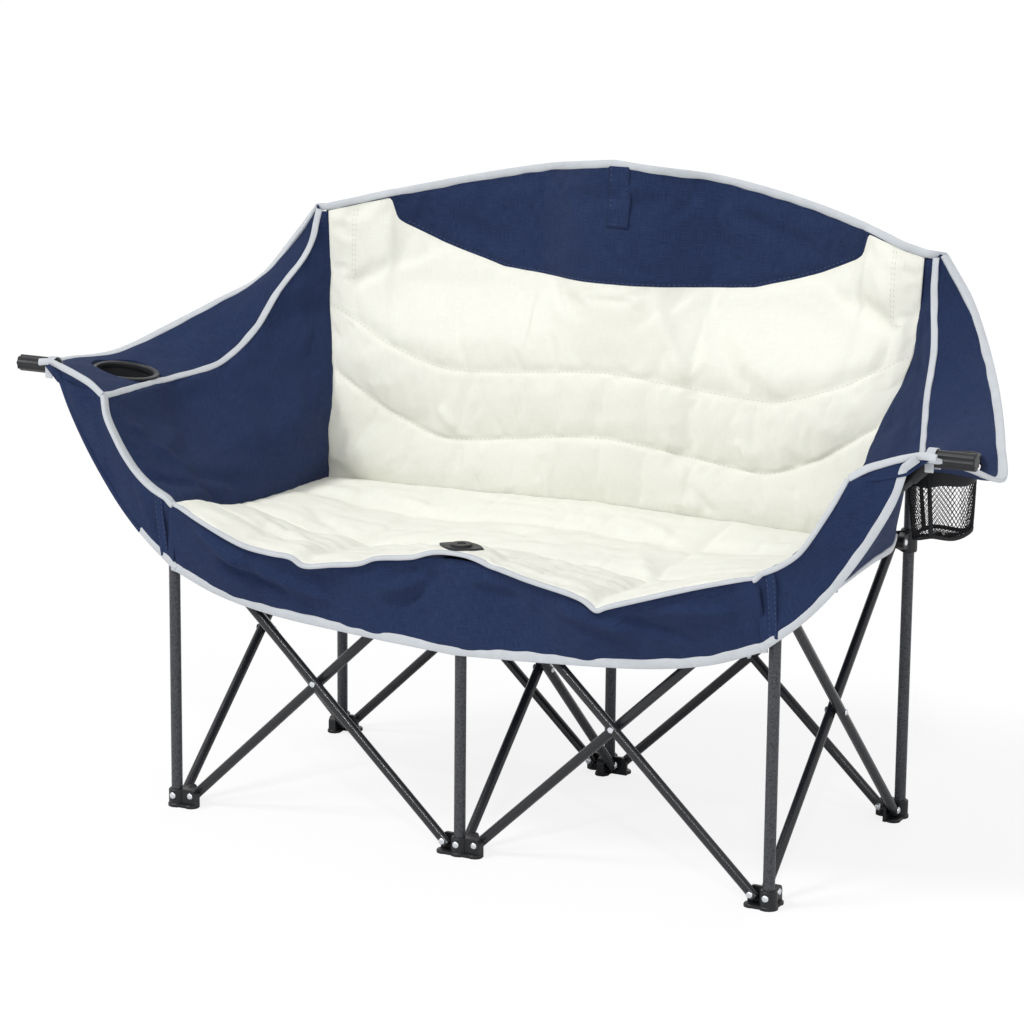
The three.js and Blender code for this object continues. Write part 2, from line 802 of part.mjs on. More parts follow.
// An edge that runs from left to right through the same shares on both sides
function mirrored(shares) {
  const halves = [seam(shares, -1), seam(shares, 1)];
  return (u) => (u < 1 / 2 ? halves[0](1 - 2 * u) : halves[1](2 * u - 1));
}

// The seat: two halves that meet midway back, sagging between the hubs
const seatFace = coons(
  mirrored(seatFrontShares),
  mirrored(seatRearShares),
  seam(seatSideShares, -1),
  seam(seatSideShares, 1),
);

function seatSurface(u, v) {
  const channel = Math.abs(Math.sin(Math.PI * v * seatChannels)) * quiltPuff;
  const edge = Math.min(1, Math.sin(Math.PI * u) * edgeFullness);
  const point = seatFace(u, v);
  point.z += channel * edge - seatSag * Math.sin(Math.PI * v) * Math.sin(Math.PI * u);
  point.x -= seamGap * (2 * u - 1);
  point.y -= v === 1 ? seamGap : 0;
  const fromStem = Math.hypot(point.x, point.y + halfPitch);
  const slack = THREE.MathUtils.smoothstep(fromStem, grommetDepth / 2, grommetLength);
  point.z = THREE.MathUtils.lerp(grommetSeatHeight, point.z, slack);
  return point;
}

function bothSides(shares) {
  const right = shares.map((share) => (1 + share) / 2);
  return [...right.slice(1).reverse().map((u) => 1 - u), ...right];
}

function edgeStep(t) {
  if (t === 0) {
    return -1;
  }
  return t === 1 ? 1 : 0;
}

function makeSeat() {
  const offset = (u, v) => {
    const lean = new THREE.Vector3(edgeStep(u), v === 1 ? 1 : 0, -1);
    return lean.multiplyScalar(seatPadThickness);
  };
  const split = seamGap / (2 * postPitch);
  const middle = 1 / 2;
  const us = bothSides(clothColumnShares);
  const frontHalf = pad(us, evenly(seatRows, 0, middle - split), seatSurface, offset);
  const rearHalf = pad(us, evenly(seatRows, middle + split, 1), seatSurface, offset);
  const stemHole = rod(
    stemDiameter / 2 + fitClearance,
    postAxis('front_centre', hubPivotHeight),
    postAxis('front_centre', grommetSeatHeight + stemDiameter),
    postSides,
  );
  addPiece('seat_front_pad', toGeometry(toSolid(frontHalf).subtract(stemHole)), finishes.cream);
  addPiece('seat_rear_pad', rearHalf, finishes.cream);
}

function makeGrommet() {
  const outline = new THREE.Shape();
  const tipX = grommetLength / 2;
  const sideY = grommetDepth / 2;
  outline.moveTo(-tipX, 0);
  outline.quadraticCurveTo(0, -2 * sideY, tipX, 0);
  outline.quadraticCurveTo(0, 2 * sideY, -tipX, 0);
  const plate = new THREE.ExtrudeGeometry(outline, {
    depth: grommetThickness,
    bevelEnabled: false,
    curveSegments: grommetSteps,
  });
  const base = postAxis('front_centre', grommetSeatHeight + fitClearance);
  const ringBase = base.clone();
  const ringTop = base.clone().setZ(base.z + grommetThickness + grommetRingHeight);
  const hole = rod(
    stemDiameter / 2 + fitClearance,
    base.clone().setZ(base.z - cutOverrun),
    ringTop.clone().setZ(ringTop.z + cutOverrun),
    postSides,
  );
  const grommet = toSolid(plate.translate(base.x, base.y, base.z))
    .add(rod(grommetRingDiameter / 2, ringBase, ringTop, ringSides))
    .subtract(hole);
  addPiece('seat_grommet', toGeometry(grommet), finishes.plastic);
}

// The back: its columns run across, its rows climb from the seat through both quilting seams to the
// crest
const seatRear = mirrored(seatRearShares);
const backFoot = slingPoint(backSideShares[0], 1).z;

function backHeight(u, v) {
  const across = Math.abs(2 * u - 1);
  const crest = backRise - crestRise * (across / crestReachShare) ** crestExponent;
  const lower = backRise * through(lowerQuiltShares, across);
  const upper = backRise * through(upperQuiltShares, across);
  const levels = [seatRear(u).z - backFoot, lower, upper, crest];
  const place = v * backBands;
  const band = Math.min(Math.floor(place), backBands - 1);
  return backFoot + THREE.MathUtils.lerp(levels[band], levels[band + 1], place - band);
}

// The place on a back side seam at a height
function backSideAt(height) {
  const points = backSideShares.map((share) => slingPoint(share, 1));
  const above = points.findIndex((point) => point.z > height);
  if (above < 1) {
    return points[above === 0 ? 0 : points.length - 1];
  }
  const [low, high] = [points[above - 1], points[above]];
  return low.clone().lerp(high, (height - low.z) / (high.z - low.z));
}

function bay(distance) {
  const step = THREE.MathUtils.clamp((distance - postMargin) / (postPitch - 2 * postMargin), 0, 1);
  return (Math.sqrt(step) * (1 - step * step)) / bayPeakShare;
}

function backSurface(u, v) {
  const share = 2 * u - 1;
  const across = Math.abs(share);
  const height = backHeight(u, v);
  const level = (height - backFoot) / backRise;
  const side = backSideAt(height);
  const distance = across * side.x;
  const centre = halfPitch * through(backAtCentreShares, level);
  const middle = halfPitch * through(backInBayShares, level);
  const straight = THREE.MathUtils.lerp(centre, side.y, across);
  const hollow = (middle - (centre + side.y) / 2) * bay(distance);
  const isQuilted = v < quiltedBands / backBands;
  const puff = isQuilted ? quiltPuff * Math.abs(Math.sin(backBands * Math.PI * v)) : 0;
  const fullness = Math.min(1, bay(distance) * edgeFullness);
  const x = Math.sign(share) * (distance - sideSeamGap * across);
  const y = v === 0 ? seatRear(u).y : straight + hollow - puff * fullness;
  return new THREE.Vector3(x, y, height + seamGap);
}

function makeBack() {
  const offset = (u, v) => {
    const { x } = backSurface(u, v);
    const fullness = Math.min(1, bay(Math.abs(x)) * edgeFullness);
    const thickness = THREE.MathUtils.lerp(backPadAtPost, backPadThickness, fullness);
    return new THREE.Vector3(edgeStep(u), 1, v === 0 ? -1 : 0).multiplyScalar(thickness);
  };
  const back = joined([
    toSolid(pad(bothSides(clothColumnShares), evenly(backRows), backSurface, offset)),
    pocket('rear_left', cornerPocketDepth),
    pocket('rear_centre', centrePocketDepth),
    pocket('rear_right', cornerPocketDepth),
  ]);
  addPiece('back_pad', toGeometry(back), finishes.cream);
}

// A sleeve sewn behind the back that a tall post's top stands in, open below and closed above
function pocket(name, depth) {
  const { height } = posts[name];
  const inner = postRadius + fitClearance;
  const outer = inner + pocketWall;
  const top = height + fitClearance + pocketWall;
  const bottom = top - depth;
  const sleeve = (radius, from, to) => {
    const outline = new THREE.Shape();
    outline.moveTo(radius, -postRadius - pocketRoot);
    outline.lineTo(radius, 0);
    outline.absarc(0, 0, radius, 0, Math.PI);
    outline.lineTo(-radius, -postRadius - pocketRoot);
    outline.closePath();
    const solid = new THREE.ExtrudeGeometry(outline, {
      depth: to - from,
      bevelEnabled: false,
      curveSegments: postSides / 2,
    });
    const base = postAxis(name, from);
    return toSolid(solid.translate(base.x, base.y, base.z));
  };
  return sleeve(outer, bottom, top).subtract(sleeve(inner, bottom - cutOverrun, top - pocketWall));
}

// The direction in which a side panel and the arm are both thick at the ridge between them
function ridgeLean(t, side) {
  const atBack = new THREE.Vector3(...ridgeAtBackShares);
  const lean = atBack.lerp(new THREE.Vector3(...ridgeAtFrontShares), t);
  return lean.multiply(new THREE.Vector3(side, 1, 1));
}

function makeSidePanel(side, word) {
  const ridge = seam(ridgeShares, side);
  const face = coons(
    seam(seatSideShares, side),
    (u) => ridge(1 - u),
    seam(sideFrontShares, side),
    seam(backSideShares, side),
  );
  const surface = (u, v) => {
    const point = face(u, v);
    point.z += v === 0 ? seamGap : 0;
    point.z -= v === 1 ? seamGap : 0;
    point.y -= u === 1 ? seamGap : 0;
    return point;
  };
  const offset = (u, v) => {
    if (v === 1) {
      return ridgeLean(1 - u, side).multiplyScalar(sidePadThickness);
    }
    const [back, drop] = v === 0 ? [u, 1] : [u ** cornerExponent, (1 - u) * sideFrontDropShare];
    return new THREE.Vector3(side, back, -drop).multiplyScalar(sidePadThickness);
  };
  const panel = pad(evenly(ridgeColumns), evenly(sideRows), surface, offset);
  addPiece(`${word}_side_panel`, panel, finishes.navy);
}

function makeArm(side, word) {
  const ridge = seam(ridgeShares, side);
  const edge = seam(wingEdgeShares, side);
  const surface = (u, v) => {
    const point = ridge(u).lerp(edge(u), v);
    point.z += Math.sin(Math.PI * v) * quiltPuff;
    point.x += v === 0 ? side * seamGap : 0;
    return point;
  };
  const offset = (u, v) => {
    if (v === 0) {
      return ridgeLean(u, side).multiplyScalar(armPadThickness);
    }
    const atBack = new THREE.Vector3(...armAtBackShares);
    const lean = atBack.lerp(upward.clone().negate(), Math.min(1, u / armTurnShare));
    return lean.multiplyScalar(armPadThickness * (1 - armTaperShare * u ** cornerExponent));
  };
  const band = toSolid(pad(evenly(ridgeColumns), evenly(armRows), surface, offset));
  const place = cupPlace(side);
  const reach = cupPouchDepth / 2;
  const radius = cupRingDiameter / 2 + fitClearance;
  const hole = rod(radius, place.at(-reach), place.at(reach), ringSides);
  addPiece(`${word}_arm`, toGeometry(band.subtract(hole)), finishes.navy);
}

// Where a cup holder's rim lies, and the points along its leaning axis
function cupPlace(side) {
  const tilt = THREE.MathUtils.degToRad(cupTilt);
  const axis = new THREE.Vector3(-side * Math.sin(tilt), 0, Math.cos(tilt));
  const centre = slingPoint(cupPlaceShares, side);
  return { axis, at: (distance) => centre.clone().addScaledVector(axis, distance) };
}

function makeCupHolder(side, word) {
  const place = cupPlace(side);
  const outer = cupRingDiameter / 2;
  const inner = outer - cupRingWidth;
  const half = cupRingThickness / 2;
  const rim = [
    [inner, -half],
    [outer, -half],
    [outer, 0],
    [outer - half, half],
    [inner + half, half],
    [inner, 0],
    [inner, -half],
  ];
  addPiece(`${word}_cup_ring`, turned(rim, ringSides, place.at(0), place.axis), finishes.plastic);
  const mouth = cupPouchDiameter / 2;
  const base = mouth * cupPouchBaseShare;
  const pouch = [
    [0, -cupPouchDepth],
    [base, -cupPouchDepth],
    [mouth, 0],
    [mouth - cupPouchWall, 0],
    [base - cupPouchWall, cupPouchWall - cupPouchDepth],
    [0, cupPouchWall - cupPouchDepth],
  ];
  const hangsFrom = place.at(-half - fitClearance);
  addPiece(`${word}_cup_pouch`, turned(pouch, ringSides, hangsFrom, place.axis), finishes.net);
}

// The front cloth: a centre apron below the seat's edge and a gusset up to each arm, whose loop goes
// over the arm cap
function makeApron() {
  const top = mirrored(seatFrontShares);
  const hem = mirrored(apronHemShares);
  const surface = (u, v) => {
    const edge = top(u);
    edge.z -= seatPadThickness + clothGap;
    const point = hem(u).lerp(edge, v);
    point.y = Math.min(point.y, hem(u).y);
    return point;
  };
  const offset = () => new THREE.Vector3(0, -sheetThickness, 0);
  const cloth = pad(bothSides(clothColumnShares), evenly(apronRows), surface, offset);
  addPiece('apron_centre', cloth, finishes.navy);
}

function makeGusset(side, word) {
  const inner = seam(sideFrontShares, side);
  const outer = seam(gussetHemShares, side);
  const surface = (u, v) => {
    const point = outer(u).lerp(inner(u), v);
    point.y -= clothLap * v;
    return point;
  };
  const offset = () => new THREE.Vector3(0, -sheetThickness, 0);
  const cloth = pad(evenly(gussetColumns), evenly(gussetRows), surface, offset);
  addPiece(`${word}_gusset`, cloth, finishes.navy);
}

function makeStrap(side, word) {
  const layer = armLayer(word);
  const inner = armCapDiameter / 2 + fitClearance;
  const outline = new THREE.Shape();
  outline.moveTo(inner, -armStrapDrop);
  outline.lineTo(inner + armStrapThickness, -armStrapDrop);
  outline.lineTo(inner + armStrapThickness, 0);
  outline.absarc(0, 0, inner + armStrapThickness, 0, Math.PI);
  outline.lineTo(-inner - armStrapThickness, -armStrapDrop);
  outline.lineTo(-inner, -armStrapDrop);
  outline.lineTo(-inner, 0);
  outline.absarc(0, 0, inner, Math.PI, 0, true);
  outline.closePath();
  const strap = new THREE.ExtrudeGeometry(outline, {
    depth: armStrapWidth,
    bevelEnabled: false,
    curveSegments: strapSteps,
  });
  const basis = new THREE.Matrix4().makeBasis(rear, upward, rear.clone().cross(upward));
  const near = armInnerEnd + armStrapInset;
  const start = side > 0 ? near : -near - armStrapWidth;
  strap.applyMatrix4(basis.setPosition(start, layer, armTipHeight));
  addPiece(`${word}_arm_strap`, toGeometry(toSolid(strap)), finishes.webbing);
}

for (const name of Object.keys(posts)) {
  makeFoot(name);
  makePost(name);
  makeHub(name);
}
for (const [name, pair] of Object.entries(pairs)) {
  pairTubes(name, pair);
}
makeSeat();
makeGrommet();
makeBack();
makeApron();
for (const [side, word] of [[-1, 'left'], [1, 'right']]) {
  makeArmCap(side, word);
  makeStrap(side, word);
  makeSidePanel(side, word);
  makeArm(side, word);
  makeCupHolder(side, word);
  makeGusset(side, word);
}

// The origin is under the middle of the whole, on the ground
const extent = new THREE.Box3().setFromObject(loveseat);
loveseat.position.y = -(extent.min.y + extent.max.y) / 2;

export default loveseat;
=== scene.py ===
"""Folding camping loveseat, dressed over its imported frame.

Metres, +Z up, +X to the sitter's left hand, the sitter faces -Y and the feet stand on z = 0. The
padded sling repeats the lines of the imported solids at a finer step, so every cloth piece hangs
where its solid does.
"""

from __future__ import annotations

import json
import logging
import math
from dataclasses import dataclass, field
from enum import Enum
from typing import Callable, Iterator

import bmesh
import bpy
import numpy as np
from mathutils import Matrix, Vector
from mathutils.bvhtree import BVHTree

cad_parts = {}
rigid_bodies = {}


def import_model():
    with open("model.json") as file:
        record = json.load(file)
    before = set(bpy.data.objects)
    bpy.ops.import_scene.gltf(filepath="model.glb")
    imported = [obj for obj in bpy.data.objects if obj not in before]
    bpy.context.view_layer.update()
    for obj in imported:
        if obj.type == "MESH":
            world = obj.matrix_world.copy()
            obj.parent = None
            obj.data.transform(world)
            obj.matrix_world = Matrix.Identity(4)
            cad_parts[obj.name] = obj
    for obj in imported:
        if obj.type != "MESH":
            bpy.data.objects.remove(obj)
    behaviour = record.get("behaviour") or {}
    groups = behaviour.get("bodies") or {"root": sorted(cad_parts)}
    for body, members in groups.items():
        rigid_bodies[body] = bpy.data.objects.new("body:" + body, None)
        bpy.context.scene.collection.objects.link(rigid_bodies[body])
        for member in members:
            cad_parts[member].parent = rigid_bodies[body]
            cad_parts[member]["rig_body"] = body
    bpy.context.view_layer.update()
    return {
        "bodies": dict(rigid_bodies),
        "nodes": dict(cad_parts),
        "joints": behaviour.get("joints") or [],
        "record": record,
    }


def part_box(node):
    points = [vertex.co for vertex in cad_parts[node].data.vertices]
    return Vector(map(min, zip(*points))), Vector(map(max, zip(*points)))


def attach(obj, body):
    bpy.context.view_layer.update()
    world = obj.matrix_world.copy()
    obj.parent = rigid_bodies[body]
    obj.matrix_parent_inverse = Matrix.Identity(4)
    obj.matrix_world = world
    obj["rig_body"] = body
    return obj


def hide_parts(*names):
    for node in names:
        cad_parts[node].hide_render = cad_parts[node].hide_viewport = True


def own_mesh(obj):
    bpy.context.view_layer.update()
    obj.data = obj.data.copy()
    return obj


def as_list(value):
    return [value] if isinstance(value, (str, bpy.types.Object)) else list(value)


log = logging.getLogger("loveseat")

Points = np.ndarray
Curve = Callable[[np.ndarray], Points]
Surface = Callable[[np.ndarray, np.ndarray], Points]
Material = bpy.types.Material
Piece = bpy.types.Object
Tree = bpy.types.NodeTree
Inputs = dict[str | int, object]

TINY = 1e-6


class Hand(Enum):
    """The two ends of the loveseat, with their sign along X."""

    LEFT = -1
    RIGHT = 1

    @property
    def word(self) -> str:
        """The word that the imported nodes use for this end."""
        return self.name.lower()


class Slot(Enum):
    """The record's material slots."""

    PAINT = "tube_paint"
    PLASTIC = "moulded_plastic"
    STEEL = "rivet_steel"
    SIDE = "side_cloth"
    QUILT = "quilted_cloth"
    WEBBING = "webbing"
    NET = "net"


# Materials


def linear(code: str) -> tuple[float, ...]:
    """Turns an sRGB hex colour to a linear colour with alpha 1."""
    parts = [int(code[i : i + 2], 16) / 255 for i in (1, 3, 5)]
    return (*[c / 12.92 if c <= 0.04045 else ((c + 0.055) / 1.055) ** 2.4 for c in parts], 1.0)


def add(tree: Tree, kind: str, inputs: Inputs | None = None, **settings: object) -> bpy.types.Node:
    """Adds a node to a tree.

    Args:
        tree: The tree that gets the node.
        kind: The node's type, without its prefix.
        inputs: By name or number, a value, a socket to link, or a node for its first socket.
        settings: The node's own settings.

    Returns:
        The new node.
    """
    node = tree.nodes.new(f"ShaderNode{kind}")
    for key, value in settings.items():
        setattr(node, key, value)
    for key, value in (inputs or {}).items():
        if isinstance(value, bpy.types.Node):
            value = value.outputs[0]
        if isinstance(value, bpy.types.NodeSocket):
            tree.links.new(value, node.inputs[key])
        else:
            node.inputs[key].default_value = value
    return node


@dataclass(frozen=True)
class Finish:
    """A finish, with its colour and the shade that it varies to."""

    name: str
    colour: str
    shade: str

    def build(self) -> Material:
        """Returns the material."""
        material = bpy.data.materials.new(self.name)
        material.use_nodes = True
        tree = material.node_tree
        tree.nodes.clear()
        shader = add(tree, "BsdfPrincipled", self.inputs(tree))
        add(tree, "OutputMaterial", {"Surface": self.surface(tree, shader)})
        return material

    def inputs(self, tree: Tree) -> Inputs:
        """Returns the inputs of the finish's Principled shader."""
        raise NotImplementedError

    def surface(self, tree: Tree, shader: bpy.types.Node) -> bpy.types.Node:
        """Returns the node that ends the tree, for most finishes their shader."""
        return shader

    def colours(self) -> Inputs:
        """Returns the two colours as a mix takes them, the shade first."""
        return {6: linear(self.shade), 7: linear(self.colour)}


@dataclass(frozen=True)
class WovenCanvas(Finish):
    """Oxford polyester, dyed in the yarn and woven plain, with a dull coated back.

    The eye gets an even, slightly slubbed colour, thin streaks along both threads and a faint sheen
    at a low angle. The threads are 0.5 mm apart on the real cloth and drawn 1.3 mm apart, so that
    the weave still shows at the photograph's distance.
    """

    thread: float = 0.0013
    slub: float = 0.02
    roughness: float = 0.82
    sheen: float = 0.02
    gloss: float = 0.08
    depth: float = 0.00022

    def inputs(self, tree: Tree) -> Inputs:
        """Returns the shader's inputs."""
        cloth = add(tree, "UVMap", uv_map="cloth")
        along = add(tree, "SeparateXYZ", {0: cloth}).outputs
        waves, streaks = [], []
        for axis, stretch in ((0, (1, 26, 1)), (1, (26, 1, 1))):
            turn = {0: along[axis], 1: 2 * math.pi / self.thread}
            turn = add(tree, "Math", turn, operation="MULTIPLY")
            waves.append(add(tree, "Math", {0: turn}, operation="SINE"))
            drawn = add(tree, "Mapping", {"Vector": cloth, "Scale": stretch})
            noise = {"Vector": drawn, "Scale": 1 / self.slub, "Detail": 3.0}
            streaks.append(add(tree, "TexNoise", noise))
        weave = add(tree, "Math", dict(enumerate(waves)), operation="MULTIPLY")
        mixed = add(tree, "Math", dict(enumerate(streaks)), operation="ADD")
        tone = add(tree, "MapRange", {"Value": mixed, "From Min": 0.75, "From Max": 1.25})
        height = add(tree, "Math", {0: weave, 1: mixed}, operation="ADD")
        bump = add(tree, "Bump", {"Height": height, "Distance": self.depth, "Strength": 0.8})
        colour = add(tree, "Mix", {0: tone, **self.colours()}, data_type="RGBA").outputs[2]
        return {
            "Base Color": colour,
            "Roughness": self.roughness,
            "Specular IOR Level": self.gloss,
            "Sheen Weight": self.sheen,
            "Sheen Roughness": 0.45,
            "Normal": bump,
        }


@dataclass(frozen=True)
class GrosgrainTape(Finish):
    """Polyester binding tape, woven narrow with ribs across it and folded over the raw edge.

    The eye gets a pale, slightly shiny grey with fine cross ribs, 0.8 mm apart on the real tape and
    drawn 1.6 mm apart.
    """

    rib: float = 0.0016

    def inputs(self, tree: Tree) -> Inputs:
        """Returns the shader's inputs."""
        cloth = add(tree, "UVMap", uv_map="cloth")
        along = add(tree, "SeparateXYZ", {0: cloth})
        turn = add(tree, "Math", {0: along, 1: 2 * math.pi / self.rib}, operation="MULTIPLY")
        rib = add(tree, "Math", {0: turn}, operation="SINE")
        dirt = add(tree, "TexNoise", {"Vector": cloth, "Scale": 45.0, "Detail": 4.0})
        colour = add(tree, "Mix", {0: dirt, **self.colours()}, data_type="RGBA").outputs[2]
        return {
            "Base Color": colour,
            "Roughness": 0.6,
            "Specular IOR Level": 0.3,
            "Normal": add(tree, "Bump", {"Height": rib, "Distance": 0.00012, "Strength": 0.7}),
        }


@dataclass(frozen=True)
class HammeredPaint(Finish):
    """Hammer-finish powder coat on mild steel tube.

    The eye gets a charcoal grey with small shiny dimples about 2.5 mm across and darker rims
    between them.
    """

    dimple: float = 0.0026
    depth: float = 0.00032
    roughness: float = 0.32

    def inputs(self, tree: Tree) -> Inputs:
        """Returns the shader's inputs."""
        place = add(tree, "TexCoord").outputs["Object"]
        cells = {"Vector": place, "Scale": 1 / self.dimple, "Randomness": 0.9}
        cells = add(tree, "TexVoronoi", cells, feature="SMOOTH_F1").outputs["Distance"]
        tone = add(tree, "MapRange", {"Value": cells, "From Min": 0.15, "From Max": 0.75})
        wear = {"Value": tone, "To Min": self.roughness, "To Max": self.roughness + 0.16}
        bump = {"Height": tone, "Distance": self.depth, "Strength": 0.6}
        rims = {0: tone, 6: linear(self.colour), 7: linear(self.shade)}
        return {
            "Base Color": add(tree, "Mix", rims, data_type="RGBA").outputs[2],
            "Roughness": add(tree, "MapRange", wear),
            "Specular IOR Level": 0.34,
            "Normal": add(tree, "Bump", bump, invert=True),
        }


@dataclass(frozen=True)
class MouldedNylon(Finish):
    """Black nylon, injection moulded in a lightly spark-eroded tool.

    The eye gets a near black with soft, wide highlights and a grain of about 0.6 mm, drawn at 1 mm.
    """

    grain: float = 0.001
    roughness: float = 0.42

    def inputs(self, tree: Tree) -> Inputs:
        """Returns the shader's inputs."""
        place = add(tree, "TexCoord").outputs["Object"]
        grain = add(tree, "TexNoise", {"Vector": place, "Scale": 1 / self.grain, "Detail": 2.0})
        scuff = add(tree, "TexNoise", {"Vector": place, "Scale": 60.0, "Detail": 5.0})
        low, high = self.roughness - 0.08, self.roughness + 0.14
        colour = add(tree, "Mix", {0: scuff, **self.colours()}, data_type="RGBA").outputs[2]
        return {
            "Base Color": colour,
            "Roughness": add(tree, "MapRange", {"Value": scuff, "To Min": low, "To Max": high}),
            "Specular IOR Level": 0.34,
            "Normal": add(tree, "Bump", {"Height": grain, "Distance": 0.00006, "Strength": 0.5}),
        }


@dataclass(frozen=True)
class ZincPlate(Finish):
    """Mild steel rivet, headed cold and zinc plated.

    The eye gets a bright grey metal with fine turned scratches and a few duller spots.
    """

    roughness: float = 0.3

    def inputs(self, tree: Tree) -> Inputs:
        """Returns the shader's inputs."""
        place = add(tree, "TexCoord").outputs["Object"]
        spots = add(tree, "TexNoise", {"Vector": place, "Scale": 700.0, "Detail": 4.0})
        low, high = self.roughness - 0.08, self.roughness + 0.12
        dull = add(tree, "MapRange", {"Value": spots, "To Min": low, "To Max": high})
        colour = add(tree, "Mix", {0: spots, **self.colours()}, data_type="RGBA").outputs[2]
        return {"Base Color": colour, "Metallic": 1.0, "Roughness": dull}


@dataclass(frozen=True)
class SewingThread(Finish):
    """Bonded polyester sewing thread, twisted from three plies.

    The eye gets a row of small rounded stitches with a soft shine.
    """

    def inputs(self, tree: Tree) -> Inputs:
        """Returns the shader's inputs."""
        place = add(tree, "TexCoord").outputs["Object"]
        plies = add(tree, "TexNoise", {"Vector": place, "Scale": 900.0, "Detail": 1.0})
        colour = add(tree, "Mix", {0: plies, **self.colours()}, data_type="RGBA").outputs[2]
        return {"Base Color": colour, "Roughness": 0.55}


@dataclass(frozen=True)
class StudioFloor(Finish):
    """Matt white painted board, which keeps a soft shadow and little else."""

    glow: float = 0.82

    def inputs(self, tree: Tree) -> Inputs:
        """Returns the shader's inputs."""
        place = add(tree, "TexCoord").outputs["Object"]
        clouds = add(tree, "TexNoise", {"Vector": place, "Scale": 0.6, "Detail": 2.0})
        colour = add(tree, "Mix", {0: clouds, **self.colours()}, data_type="RGBA").outputs[2]
        return {"Base Color": colour, "Roughness": 0.9, "Specular IOR Level": 0.1}

    def surface(self, tree: Tree, shader: bpy.types.Node) -> bpy.types.Node:
        """Returns the shader, mostly white to the eye."""
        white = add(tree, "Emission", {"Strength": 1.0})
        seen = add(tree, "LightPath").outputs["Is Camera Ray"]
        share = add(tree, "Math", {0: seen, 1: self.glow}, operation="MULTIPLY")
        return add(tree, "MixShader", {0: share, 1: shader, 2: white})


class Palette:
    """Every finish of the loveseat, built once."""

    def __init__(self) -> None:
        """Builds the materials."""
        self.navy = WovenCanvas("navy_oxford_canvas", "#2e3c5f", "#212c4a").build()
        self.cream = WovenCanvas(
            "cream_brushed_polyester", "#f7f7ee", "#efefe4", sheen=0.03, roughness=0.9
        ).build()
        self.tape = GrosgrainTape("grey_binding_tape", "#c9cdd2", "#b5babf").build()
        self.black_tape = GrosgrainTape("black_binding_tape", "#16181c", "#0e0f12").build()
        self.paint = HammeredPaint("hammered_powder_coat", "#45474c", "#24262a").build()
        self.tube_paint = HammeredPaint(
            "satin_powder_coat", "#292a2e", "#1e1f22", depth=0.00002, roughness=0.15
        ).build()
        self.nylon = MouldedNylon("black_moulded_nylon", "#1b1c1f", "#141518").build()
        self.net = MouldedNylon("black_knitted_net", "#15161a", "#0d0e11", roughness=0.7).build()
        self.zinc = ZincPlate("zinc_plated_rivet", "#e4e7ea", "#b4b9be").build()
        self.navy_thread = SewingThread("navy_thread", "#46547a", "#36446a").build()
        # The pale thread is drawn darker than the cream: its own colour plus painted shade of the
        # quilting seams' grooves.
        self.pale_thread = SewingThread("pale_thread", "#dcdbcf", "#c9c8bb").build()


# Meshes


def finished(
    name: str, bm: bmesh.types.BMesh, materials: Material | list[Material], slot: Slot
) -> Piece:
    """Turns a bmesh into a smooth object at the origin and frees the bmesh.

    Args:
        name: The piece's name.
        bm: The shape, in place.
        materials: The piece's materials, the first of them the main one.
        slot: The record's material slot; not used.

    Returns:
        The object.
    """
    mesh = bpy.data.meshes.new(name)
    for face in bm.faces:
        face.smooth = True
    bm.to_mesh(mesh)
    bm.free()
    for material in materials if isinstance(materials, list) else [materials]:
        mesh.materials.append(material)
    piece = bpy.data.objects.new(name, mesh)
    bpy.context.scene.collection.objects.link(piece)
    return piece


def ride(frame: dict, piece: Piece, node: str, stands_for: bool = False) -> None:
    """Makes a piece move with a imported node's body, and stand for the node where asked."""
    if stands_for:
        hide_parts(node)
    body = frame["nodes"][node]["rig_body"]
    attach(piece, body)
    log.info("%s rides on %s", piece.name, body)


def discard(piece: Piece) -> None:
    """Removes a helper object with its mesh."""
    mesh = piece.data
    bpy.data.objects.remove(piece)
    bpy.data.meshes.remove(mesh)


def spread(bm: bmesh.types.BMesh, points: Points) -> None:
    """Moves the vertices of a bmesh to these points, in their order."""
    for vert, point in zip(bm.verts, points):
        vert.co = point


def grid(columns: int, rows: int) -> tuple[bmesh.types.BMesh, np.ndarray, np.ndarray]:
    """Makes a flat grid of faces and returns it with each vertex's share across and up."""
    bm = bmesh.new()
    bmesh.ops.create_grid(bm, x_segments=columns, y_segments=rows, size=0.5)
    bm.verts.ensure_lookup_table()
    flat = np.array([vert.co[:2] for vert in bm.verts]) + 0.5
    return bm, np.clip(flat[:, 0], 0, 1), np.clip(flat[:, 1], 0, 1)


def lay_cloth_map(bm: bmesh.types.BMesh, across: np.ndarray, up: np.ndarray) -> None:
    """Writes the cloth's own flat place, in metres, to a UV map."""
    layer = bm.loops.layers.uv.new("cloth")
    for face in bm.faces:
        for loop in face.loops:
            loop[layer].uv = (across[loop.vert.index], up[loop.vert.index])


def turned(
    profile: list[tuple[float, float]], place: Matrix, steps: int, closed: bool = False
) -> bmesh.types.BMesh:
    """Turns a profile of radius and height round the Z axis of a place.

    Args:
        profile: The points from one end to the other.
        place: Where the solid stands.
        steps: Faces round it.
        closed: Whether the profile is a ring that ends where it starts.

    Returns:
        The closed solid.
    """
    bm = bmesh.new()
    verts = [bm.verts.new((radius, 0, height)) for radius, height in profile]
    pairs = list(zip(verts, verts[1:])) + ([(verts[-1], verts[0])] if closed else [])
    bmesh.ops.spin(
        bm,
        geom=verts + [bm.edges.new(pair) for pair in pairs],
        cent=(0, 0, 0),
        axis=(0, 0, 1),
        angle=2 * math.pi,
        steps=steps,
        use_merge=True,
    )
    bmesh.ops.remove_doubles(bm, verts=bm.verts, dist=TINY)
    bmesh.ops.transform(bm, matrix=place, verts=bm.verts)
    bmesh.ops.recalc_face_normals(bm, faces=bm.faces)
    return bm


